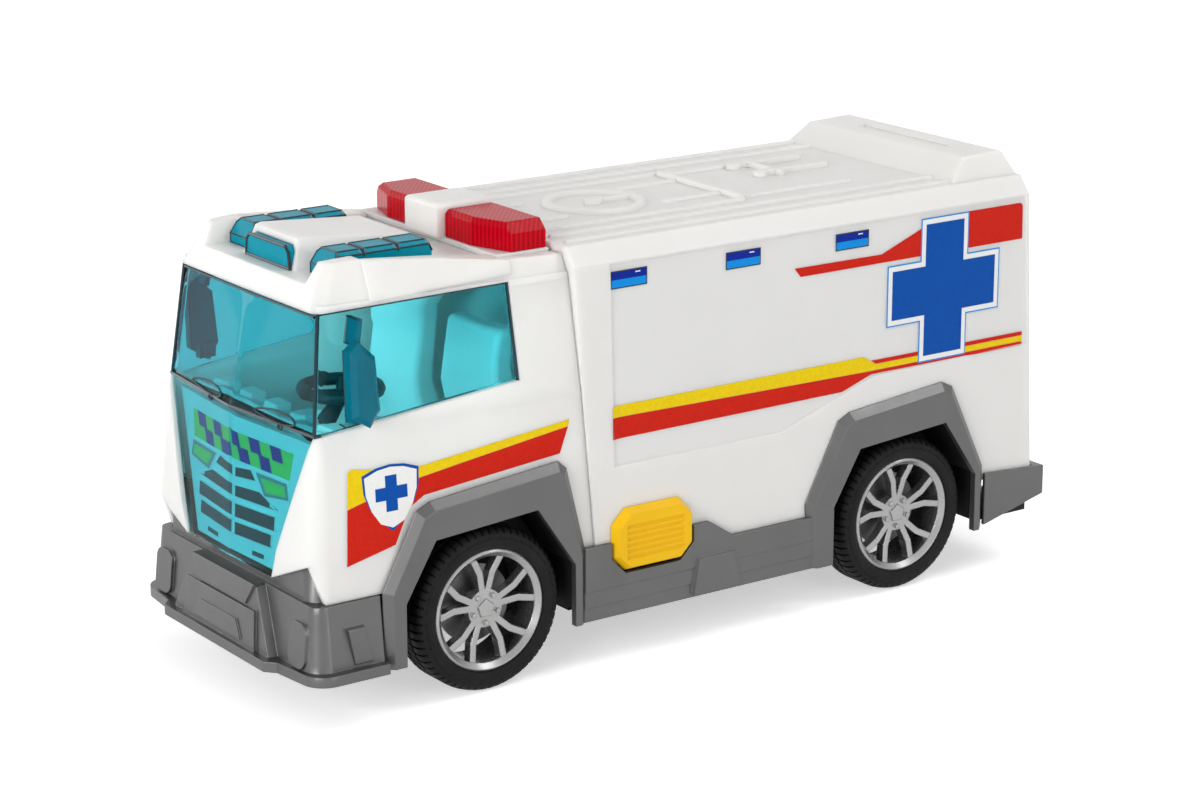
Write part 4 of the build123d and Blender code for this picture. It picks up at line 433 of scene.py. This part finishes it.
# Box stripes, in millimetres from the front axle and from the floor
STRIPE_FRONT = -42.0
STRIPE_REAR = -197.3
both("box_stripe_yellow", [
    (STRIPE_FRONT, 72.4), (STRIPE_FRONT, 75.7), (-133.9, 75.9), (-138.6, 73.0), (STRIPE_REAR, 73.0),
    (STRIPE_REAR, 71.2), (-134.0, 71.2)], INK_YELLOW, "box_shell")
both("box_stripe_red", [
    (STRIPE_FRONT, 66.0), (STRIPE_FRONT, 72.3), (-134.0, 71.1), (STRIPE_REAR, 71.1),
    *arc(STRIPE_REAR + 1.0, 71.1, 1.0, 180, 270), (-137.0, 70.1), (-125.8, 66.4)], INK_RED, "box_shell")
both("box_stripe_thin_red", [
    (-136.8, 74.3), (STRIPE_REAR, 74.3), (STRIPE_REAR, 73.1), (-138.7, 73.1)], INK_RED, "box_shell")
both("box_stripe_upper", [
    (-107.0, 106.6), (-140.0, 106.4), (-163.0, 115.1), *arc(-194.4, 113.7, 1.4, 90, 180), (-196.0, 103.8),
    (-109.3, 103.8)], INK_RED, "box_shell")

# Plain plus sign with a white border and a thin outline
SIGN = (-164.6, 92.9)
SIGN_HALF = 20.3
SIGN_ARM = 15.0
for layer, (part, material, grow) in enumerate((
    ("outline", INK_SKY, 1.9), ("border", INK_WHITE, 1.5), ("face", INK_BLUE, 0.0),
), start=2):
    both(f"side_sign_{part}", plus_sign(*SIGN, SIGN_HALF, SIGN_ARM, grow), material, "box_shell", layer)

# Three printed lamps under the roof: frame, dark upper half, bright lower half and a glint
LAMP_FIRST = -47.7
LAMP_PITCH = -40.4
LAMP_Z = 112.2
LAMP_SIZE = (12.6, 5.1)
LAMP_BORDER = 0.35
GLINT_SHIFT = -3.0          # from the lamp's middle
GLINT_RISE = 0.72           # share of the upper half below the glint's middle
GLINT_SIZE = (1.7, 0.32)
for index in range(3):
    x = LAMP_FIRST + index * LAMP_PITCH
    width = LAMP_SIZE[0] - 2 * LAMP_BORDER
    half = LAMP_SIZE[1] / 2 - LAMP_BORDER
    both(f"side_lamp_frame_{index}", rectangle(x, LAMP_Z, *LAMP_SIZE), INK_SLATE, "box_shell", 1)
    both(f"side_lamp_upper_{index}", rectangle(x, LAMP_Z + half / 2, width, half), INK_NAVY, "box_shell", 2)
    both(f"side_lamp_lower_{index}", rectangle(x, LAMP_Z - half / 2, width, half), INK_SKY, "box_shell", 2)
    glint = rectangle(x + GLINT_SHIFT, LAMP_Z + half * GLINT_RISE, *GLINT_SIZE)
    both(f"side_lamp_glint_{index}", glint, INK_WHITE, "box_shell", 3)

# Cab stripes and shield
both("cab_stripe_yellow", [
    (44.1, 60.8), (43.4, 70.2), *arc(41.9, 70.1, 1.5, 10, 100, 4), (37.8, 70.8), (21.3, 69.0), (-27.7, 74.4),
    (-27.2, 72.5), (20.9, 66.0), (38.9, 62.1)], INK_YELLOW, "cab_shell")
both("cab_stripe_red", [
    (45.2, 45.2), (44.1, 60.7), (38.9, 62.0), (20.9, 65.9), (-27.2, 72.4), (-24.4, 65.0), (20.0, 60.8),
    (25.0, 58.0), (29.8, 48.6)], INK_RED, "cab_shell")
SHIELD_MIDDLE = 30.3
SHIELD_HALF = 8.9
SHIELD_TOP = 69.2
SHIELD_FOOT = 52.6
SHIELD_POINT = 1.4          # the point moves this much more than the sides as the outline grows
# Its side and its bowed top, as shares of the half width with the drop or rise from the top
SHIELD_SIDE = ((1.0, 0.0), (0.97, 5.0), (0.78, 9.5), (0.45, 13.4))
SHIELD_CROWN = ((-0.5, 1.5), (0.0, 2.0), (0.5, 1.5))


def shield(grow):
    """Shield outline with a bowed top and sides that close to a point."""
    half = SHIELD_HALF + grow
    top = SHIELD_TOP + grow
    foot = (SHIELD_MIDDLE, SHIELD_FOOT - SHIELD_POINT * grow)
    left = [(SHIELD_MIDDLE + half * share, top - drop) for share, drop in SHIELD_SIDE]
    right = [(2 * SHIELD_MIDDLE - x, z) for x, z in reversed(left)]
    crown = [(SHIELD_MIDDLE + half * share, top + rise) for share, rise in SHIELD_CROWN]
    return [*left, foot, *right, *crown]


both("shield_outline", shield(0.0), INK_BLUE, "cab_shell", 2)
both("shield_face", shield(-0.7), INK_WHITE, "cab_shell", 3)
both("shield_sign", plus_sign(SHIELD_MIDDLE, 63.2, 5.0, 3.6), INK_BLUE, "cab_shell", 4)

# Grille print behind the glazing: a band of checks, two lamps, slats and slots, in Y and Z
BAND_LOW, BAND_HIGH = 66.2, 74.0
BAND_MIDDLE = (BAND_LOW + BAND_HIGH) / 2
BAND_HALF = 28.0
BAND_SLANT = 1.4            # how much shorter the band is at its foot, at each end
CHECK = 5.2
CHECK_LEAN = 1.6
film("grille_band", [(-BAND_HALF + BAND_SLANT, BAND_LOW), (BAND_HALF - BAND_SLANT, BAND_LOW),
                     (BAND_HALF, BAND_HIGH), (-BAND_HALF, BAND_HIGH)], INK_GREEN, "grille_backing", "front", 1)
for row, (low, high, shift) in enumerate(((BAND_MIDDLE, BAND_HIGH, 0.0), (BAND_LOW, BAND_MIDDLE, CHECK))):
    for index in range(-2, 3):
        start = index * 2 * CHECK + shift - CHECK / 2
        end = start + CHECK
        if abs(start + CHECK / 2) + CHECK / 2 < BAND_HALF - 1:
            film(f"grille_check_{row}_{index + 2}",
                 [(start, low), (end, low), (end - CHECK_LEAN, high), (start - CHECK_LEAN, high)],
                 INK_NAVY, "grille_backing", "front", 2)
FOOT_Z = node_box("glazing")[0].z
# Slats from the foot up: edges above the glazing's foot, and the edges' outer ends from the middle
SLATS = (
    (5.9, 9.8, 19.8, 19.8), (10.9, 15.1, 21.2, 21.2), (16.8, 20.3, 21.9, 13.2), (22.6, 25.5, 11.1, 8.6),
)
SLAT_IN = 0.8
SLAT_EDGE = 0.2             # bare edge of a slat round its print
SLAT_RISE = 0.9
LAMP_FRAME = ((11.0, 26.2), (26.1, 26.4), (27.2, 22.0), (15.6, 20.5))
LAMP_GLASS = ((13.4, 25.3), (25.2, 25.4), (25.9, 22.6), (16.6, 21.6))
SLOT = ((9.6, 2.2), (15.8, 2.5), (15.8, 3.8), (9.6, 3.5))


def raised(sign, points):
    """Points from the middle and above the glazing's foot, on one side."""
    return [(sign * y, FOOT_Z + up) for y, up in points]


for side, sign in SIDES.items():
    film(f"grille_lamp_frame_{side}", raised(sign, LAMP_FRAME), INK_GREY, "grille_backing", "front", 1)
    film(f"grille_lamp_{side}", raised(sign, LAMP_GLASS), INK_GREEN, "grille_backing", "front", 2)
    film(f"grille_slot_{side}", raised(sign, SLOT), INK_SLATE, "grille_backing", "front", 1)
    for index, (low, high, out_low, out_high) in enumerate(SLATS):
        slat = ((SLAT_IN + SLAT_EDGE, low + SLAT_EDGE), (out_low - SLAT_EDGE, low + SLAT_RISE + SLAT_EDGE),
                (out_high - SLAT_EDGE, high + SLAT_RISE - SLAT_EDGE), (SLAT_IN + SLAT_EDGE, high - SLAT_EDGE))
        film(f"grille_slat_{index}_{side}", raised(sign, slat), INK_SLATE, "grille_backing", "front", 1)


# Bars along lines
def tube(name, points, radius, material, closed=False):
    """Round bar along a smooth line, in metres."""
    data = bpy.data.curves.new(name, "CURVE")
    data.dimensions = "3D"
    data.bevel_depth = radius
    data.bevel_resolution = 2
    data.resolution_u = 6
    data.use_fill_caps = True
    spline = data.splines.new("NURBS")
    spline.points.add(len(points) - 1)
    for point, place in zip(spline.points, points):
        point.co = (*place, 1.0)
    spline.order_u = 3
    spline.use_endpoint_u = True
    spline.use_cyclic_u = closed
    shape = bpy.data.objects.new(name + "_line", data)
    bpy.context.scene.collection.objects.link(shape)
    mesh = bpy.data.meshes.new_from_object(shape)
    bpy.data.objects.remove(shape)
    mesh.name = name
    return finish_piece(name, mesh, material)


def on_glass(points, lift=0.25):
    """Points in Y and Z laid on the glazing from the front."""
    surface = surface_of("glazing")
    places = []
    for y, z in points:
        hit = surface.ray_cast(Vector((FAR, y * MM, z * MM)), Vector((-1, 0, 0)))[0]
        places.append(hit + Vector((lift * MM, 0, 0)))
    return places


# Wipers: thin loops at the foot of the windscreen, from their pivots
WIPER_LOOP = (
    (0.0, 1.0), (4.0, 1.4), (6.9, 1.9), (6.0, 3.6), (1.0, 4.4), (-6.0, 4.1), (-13.8, 2.6), (-10.0, 1.7),
    (-4.0, 1.3),
)
WIPER_PIVOTS = {"left": 24.6, "right": -12.4}
WIPER_FOOT = 80.9
WIPER_R = 0.28
PIVOT_RING = 0.9            # radius of the ring at the pivot
PIVOT_R = 0.32              # thickness of that ring, as a radius
PIVOT_LIFT = 0.4
for side, pivot in WIPER_PIVOTS.items():
    loop = [(pivot + y, WIPER_FOOT + z) for y, z in WIPER_LOOP]
    tube(f"wiper_{side}", on_glass(loop), WIPER_R * MM, DARK, closed=True)
    turns = [math.radians(45 * step) for step in range(8)]
    ring = [(pivot + PIVOT_RING * math.cos(turn), WIPER_FOOT + PIVOT_LIFT + PIVOT_RING * math.sin(turn))
            for turn in turns]
    tube(f"wiper_pivot_{side}", on_glass(ring), PIVOT_R * MM, DARK, closed=True)

# Steering wheel: flat thick ring with three broad spokes, in place of the plain solid
wheel_low, wheel_high = node_box("steering_wheel")
STEER_AHEAD = 0.8           # middle of the ring ahead of the solid's middle
STEER_LIFT = 3.9            # and above it
STEER_CENTRE = (wheel_low + wheel_high) / 2 + Vector((STEER_AHEAD, 0.0, STEER_LIFT))
STEER_R = 10.2
STEER_LINE = 1.04 * STEER_R     # the ring's control points lie a little outside its middle line
STEER_TUBE = 1.85
STEER_SPOKE = 1.5
STEER_COLUMN = 2.2


def on_wheel(radius, degrees, drop=0.0):
    """Point on the steering wheel's plane or below it, in metres."""
    angle = math.radians(degrees)
    return (STEER_CENTRE + Vector((radius * math.cos(angle), radius * math.sin(angle), -drop))) * MM


ring_points = [on_wheel(STEER_LINE, 30 * step) for step in range(12)]
ring = tube("steering_ring", ring_points, STEER_TUBE * MM, DARK, closed=True)
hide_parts("steering_wheel")
for spoke in range(3):
    spoke_points = [on_wheel(0, 0, 1.6), on_wheel(STEER_R * 0.5, 120 * spoke, 1.0),
                    on_wheel(STEER_R, 120 * spoke, 0.3)]
    tube(f"steering_spoke_{spoke}", spoke_points, STEER_SPOKE * MM, DARK)
column_points = [on_wheel(0, 0, 0.6), on_wheel(1, 0, 4.0), on_wheel(6, 0, 8.5)]
tube("steering_column", column_points, STEER_COLUMN * MM, DARK)

# Painted shade: thin dark bars along the edges of the clear pieces, standing in for the darkening where the
# light goes a long way through them
SHARP = math.radians(22)
EDGE_SINK = 0.3             # how far a bar's middle lies inside its edge, as a share of the bar's radius
GLASS_MIDDLE = Vector((90.0, 0.0, 80.0)) * MM
SCREEN_FOOT = 80.5 * MM


def shade_bars(name, node_name, radius, shows, least=0.0):
    """Thin dark bars of painted shade along a clear node's sharp edges of this least length, picked by middle
    and outward way.
    """
    source = bmesh.new()
    source.from_mesh(NODES[node_name].data)
    bmesh.ops.remove_doubles(source, verts=source.verts[:], dist=WELD_GAP)
    bmesh.ops.dissolve_limit(source, angle_limit=FLAT, verts=source.verts[:], edges=source.edges[:])
    source.normal_update()
    bars = bmesh.new()
    for edge in source.edges:
        if len(edge.link_faces) != 2 or edge.calc_face_angle_signed(0.0) < SHARP:
            continue
        outward = (edge.link_faces[0].normal + edge.link_faces[1].normal).normalized()
        first, last = [vertex.co - outward * radius * MM * EDGE_SINK for vertex in edge.verts]
        along = last - first
        if along.length < least * MM or not shows((first + last) / 2, outward):
            continue
        place = Matrix.Translation((first + last) / 2) @ along.to_track_quat("Z", "X").to_matrix().to_4x4()
        bmesh.ops.create_cone(bars, cap_ends=True, segments=8, radius1=radius * MM, radius2=radius * MM,
                              depth=along.length + radius * MM, matrix=place)
    source.free()
    mesh = bpy.data.meshes.new(name)
    bars.to_mesh(mesh)
    bars.free()
    return finish_piece(name, mesh, EDGE_SHADE)


def on_screen(middle, outward):
    """True for the panes' outer edges above the windscreen's foot."""
    away = (middle - GLASS_MIDDLE).normalized()
    return middle.z > SCREEN_FOOT and outward.z > -0.2 and outward.dot(away) > 0.3


shade_bars("glazing_edge_shade", "glazing", 0.55, on_screen)
# Painted shade: a dark line along the top of the windscreen
SCREEN_TOP = 113.2
screen_top = on_glass([(y, SCREEN_TOP) for y in range(-36, 37, 6)], 0.1)
tube("screen_top_shade", screen_top, 0.4 * MM, EDGE_SHADE)
shade_bars("scoop_edge_shade", "scoop_window", 0.5, lambda middle, outward: outward.x > 0.25)
for side, sign in SIDES.items():
    shade_bars(f"roof_lamp_edge_shade_{side}", f"roof_lamp_{side}", 0.28,
              lambda middle, outward: outward.z > 0.3 or outward.x > 0.5)
    shade_bars(f"mirror_edge_shade_{side}", f"mirror_{side}", 0.25,
              lambda middle, outward: outward.x > 0.1 and outward.y * sign < 0.1, 4.0)

# Tyres with tread blocks and small studs on the sidewall, in place of the plain solids
BLOCKS = 60
NOTCH = 0.28                # share of a block's pitch that its notch takes
TREAD_DEPTH = 0.6
STUDS = 36
STUD_R = 0.32
STUD_IN = 0.45              # middle of a stud, in from the outer face
SIDEWALL = TYRE_R - RIM_R
STUD_RING = RIM_R + 0.575 * SIDEWALL
WIDTH = tyre_high.y - tyre_low.y
# Section from the bead outside to the bead inside: radius, distance in from the outer face and share of
# the notch depth
TYRE_SECTION = (
    (RIM_R, 0.9, 0.0), (RIM_R + 0.04 * SIDEWALL, 0.55, 0.0), (RIM_R + 0.14 * SIDEWALL, 0.2, 0.0),
    (RIM_R + 0.28 * SIDEWALL, 0.0, 0.0), (RIM_R + 0.48 * SIDEWALL, 0.05, 0.0),
    (RIM_R + 0.53 * SIDEWALL, 0.35, 0.0), (RIM_R + 0.62 * SIDEWALL, 0.42, 0.0),
    (RIM_R + 0.74 * SIDEWALL, 0.6, 0.0), (RIM_R + 0.84 * SIDEWALL, 1.05, 0.8),
    (TYRE_R - 0.35, 1.9, 1.0), (TYRE_R, 3.2, 1.0), (TYRE_R, 5.3, 1.0), (TYRE_R - TREAD_DEPTH, 5.4, 0.0),
    (TYRE_R - TREAD_DEPTH, 6.2, 0.0), (TYRE_R, 6.3, 0.35), (TYRE_R, WIDTH - 6.3, 0.35),
    (TYRE_R - TREAD_DEPTH, WIDTH - 6.2, 0.0), (TYRE_R - TREAD_DEPTH, WIDTH - 5.4, 0.0),
    (TYRE_R, WIDTH - 5.3, 1.0), (TYRE_R, WIDTH - 3.0, 1.0), (TYRE_R - 0.35, WIDTH - 1.7, 1.0),
    (RIM_R + 0.72 * SIDEWALL, WIDTH - 0.5, 0.6), (RIM_R + 0.5 * SIDEWALL, WIDTH, 0.0), (RIM_R, WIDTH, 0.0),
)
# Places along one block's pitch and the share of the notch's depth there
BLOCK_STEPS = ((0.0, 0.0), (0.05, 1.0), (NOTCH - 0.05, 1.0), (NOTCH, 0.0), (0.5 * (1 + NOTCH), 0.0))


def tyre(name, node_name, body, sign):
    """Tyre mesh round its axle, with notches between the tread blocks."""
    low, high = node_box(node_name)
    middle = Vector(((low.x + high.x) / 2, 0.0, (low.z + high.z) / 2))
    outer = high.y if sign > 0 else low.y
    mesh_build = bmesh.new()
    rows = []
    for block in range(BLOCKS):
        for place, share in BLOCK_STEPS:
            row = []
            for radius, inward, notch in TYRE_SECTION:
                inner_half = inward > WIDTH / 2
                turn = block + place + (0.5 if inner_half else 0.0)
                angle = 2 * math.pi * turn / BLOCKS
                reach = radius - TREAD_DEPTH * share * notch
                row.append(mesh_build.verts.new((
                    (middle.x + reach * math.cos(angle)) * MM, (outer - sign * inward) * MM,
                    (middle.z + reach * math.sin(angle)) * MM)))
            rows.append(row)
    for index, row in enumerate(rows):
        following = rows[(index + 1) % len(rows)]
        for step in range(len(row)):
            nxt = (step + 1) % len(row)
            mesh_build.faces.new((row[step], row[nxt], following[nxt], following[step]))
    bmesh.ops.recalc_face_normals(mesh_build, faces=mesh_build.faces[:])
    for stud in range(STUDS):
        angle = 2 * math.pi * stud / STUDS
        centre = Vector(((middle.x + STUD_RING * math.cos(angle)) * MM, (outer - sign * STUD_IN) * MM,
                         (middle.z + STUD_RING * math.sin(angle)) * MM))
        ball = bmesh.ops.create_icosphere(mesh_build, subdivisions=2, radius=STUD_R * MM)
        bmesh.ops.translate(mesh_build, verts=ball["verts"], vec=centre)
    mesh = bpy.data.meshes.new(name)
    mesh_build.to_mesh(mesh)
    mesh_build.free()
    piece = finish_piece(name, mesh, RUBBER, body)
    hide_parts(node_name)


for end in ENDS:
    for side, sign in SIDES.items():
        tyre(f"tread_tyre_{end}_{side}", f"tyre_{end}_{side}", f"{end}_wheels", sign)

# Screws in the base, with a raised cross on the head
screws = next(mount for mount in frame["record"]["mounts"] if mount["name"] == "base_screws")
SCREW_HEAD_R = 1.5
SCREW_HEAD = 0.7
SCREW_LIFT = 0.4            # head's face above the underside of the base
SCREW_STEPS = 24
CROSS_LENGTH = 1.5
CROSS_WIDTH = 0.32
CROSS_HEIGHT = 0.12
# Head from the middle of its face to the middle of its back: radius and height
SCREW_PROFILE = (
    (0.0, 0.0), (0.6 * SCREW_HEAD_R, 0.0), (0.9 * SCREW_HEAD_R, 0.25), (SCREW_HEAD_R, SCREW_HEAD),
    (0.0, SCREW_HEAD),
)


def screw(name, x, y, z):
    """Pan-head screw that looks down, in millimetres."""
    mesh_build = bmesh.new()
    rings = []
    for radius, height in SCREW_PROFILE:
        turns = [2 * math.pi * k / SCREW_STEPS for k in range(SCREW_STEPS if radius else 1)]
        rings.append([mesh_build.verts.new(
            ((x + radius * math.cos(turn)) * MM, (y + radius * math.sin(turn)) * MM, (z + height) * MM))
            for turn in turns])
    for first, second in zip(rings, rings[1:]):
        for k in range(SCREW_STEPS):
            near = (k + 1) % SCREW_STEPS
            if len(first) == 1:
                mesh_build.faces.new((first[0], second[k], second[near]))
            elif len(second) == 1:
                mesh_build.faces.new((first[k], second[0], first[near]))
            else:
                mesh_build.faces.new((first[k], second[k], second[near], first[near]))
    bmesh.ops.recalc_face_normals(mesh_build, faces=mesh_build.faces[:])
    for width, length in ((CROSS_WIDTH, CROSS_LENGTH), (CROSS_LENGTH, CROSS_WIDTH)):
        bar = bmesh.ops.create_cube(mesh_build, size=1.0)["verts"]
        bmesh.ops.scale(mesh_build, verts=bar, vec=(width * MM, length * MM, CROSS_HEIGHT * MM))
        bmesh.ops.translate(mesh_build, verts=bar, vec=(x * MM, y * MM, z * MM))
    mesh = bpy.data.meshes.new(name)
    mesh_build.to_mesh(mesh)
    mesh_build.free()
    finish_piece(name, mesh, STEEL)


hole_x, hole_y, hole_z = [value / MM for value in screws["pos_m"]]
for row in (-1, 1):
    for column in (-1, 1):
        screw(f"base_screw_{row + 1}_{column + 1}", hole_x + row * screws["dims"]["spacing_x_mm"] / 2,
              hole_y + column * screws["dims"]["spacing_y_mm"] / 2, hole_z + SCREW_LIFT)

# Floor, light and camera
SENSOR = 36.0               # width in millimetres
PHOTO_LENS = 95.07          # millimetres, for that sensor
CAMERA_PLACE = Vector((0.5279, 0.7421, 0.3214))
CAMERA_TARGET = Vector((0.00253, 0.0, 0.06282))
scene = bpy.context.scene
scene.view_settings.view_transform = "Standard"


def seen_rays(tree):
    """1 for rays that see the background directly, in a mirror or through glass."""
    path = tree.nodes.new("ShaderNodeLightPath")
    total = path.outputs["Is Camera Ray"]
    for kind in ("Is Glossy Ray", "Is Transmission Ray"):
        largest = tree.nodes.new("ShaderNodeMath")
        largest.operation = "MAXIMUM"
        tree.links.new(total, largest.inputs[0])
        tree.links.new(path.outputs[kind], largest.inputs[1])
        total = largest.outputs["Value"]
    return total


WORLD_LIGHT = 0.40
world = bpy.data.worlds.new("studio")
scene.world = world
world.use_nodes = True
sky = world.node_tree.nodes["Background"]
sky.inputs["Color"].default_value = (1.0, 1.0, 1.0, 1.0)
strength = add_node(world.node_tree, "ShaderNodeMapRange", To_Min=WORLD_LIGHT, To_Max=1.0)
world.node_tree.links.new(seen_rays(world.node_tree), strength.inputs["Value"])
world.node_tree.links.new(strength.outputs["Result"], sky.inputs["Strength"])

FLOOR_HALF = 6.0
FLOOR_GLOW = 0.5            # own light of the floor where it is seen, so that it is white
floor_mesh = bpy.data.meshes.new("floor")
floor_corners = [(a * FLOOR_HALF, b * FLOOR_HALF, 0) for a, b in ((-1, -1), (1, -1), (1, 1), (-1, 1))]
floor_mesh.from_pydata(floor_corners, [], [(0, 1, 2, 3)])
floor = bpy.data.objects.new("floor", floor_mesh)
scene.collection.objects.link(floor)
floor_material, floor_tree, floor_shader = new_material("pale_floor")
floor_shader.inputs["Base Color"].default_value = (0.9, 0.9, 0.9, 1.0)
floor_shader.inputs["Roughness"].default_value = 0.9
floor_shader.inputs["Emission Color"].default_value = (1.0, 1.0, 1.0, 1.0)
glow = add_node(floor_tree, "ShaderNodeMapRange", To_Min=0.0, To_Max=FLOOR_GLOW)
floor_tree.links.new(seen_rays(floor_tree), glow.inputs["Value"])
floor_tree.links.new(glow.outputs["Result"], floor_shader.inputs["Emission Strength"])
floor_mesh.materials.append(floor_material)


def soft_light(name, place, size, watts):
    """Square lamp that faces the object."""
    data = bpy.data.lights.new(name, "AREA")
    data.shape = "SQUARE"
    data.size = size
    data.energy = watts
    lamp = bpy.data.objects.new(name, data)
    lamp.location = place
    lamp.rotation_euler = (CAMERA_TARGET - Vector(place)).to_track_quat("-Z", "Y").to_euler()
    scene.collection.objects.link(lamp)


soft_light("key", (1.2, 0.5, 0.42), 0.6, 9.0)
soft_light("fill", (-0.2, 1.5, 0.5), 0.9, 4.5)
soft_light("right", (0.8, -1.3, 0.6), 0.9, 6.0)
soft_light("top", (-0.75, 0.35, 1.2), 0.6, 5.5)

camera_data = bpy.data.cameras.new("camera")
camera_data.lens = PHOTO_LENS
camera_data.sensor_width = SENSOR
camera_data.sensor_fit = "HORIZONTAL"
camera = bpy.data.objects.new("camera", camera_data)
camera.location = CAMERA_PLACE
camera.rotation_euler = (CAMERA_TARGET - CAMERA_PLACE).to_track_quat("-Z", "Y").to_euler()
scene.collection.objects.link(camera)
scene.camera = camera
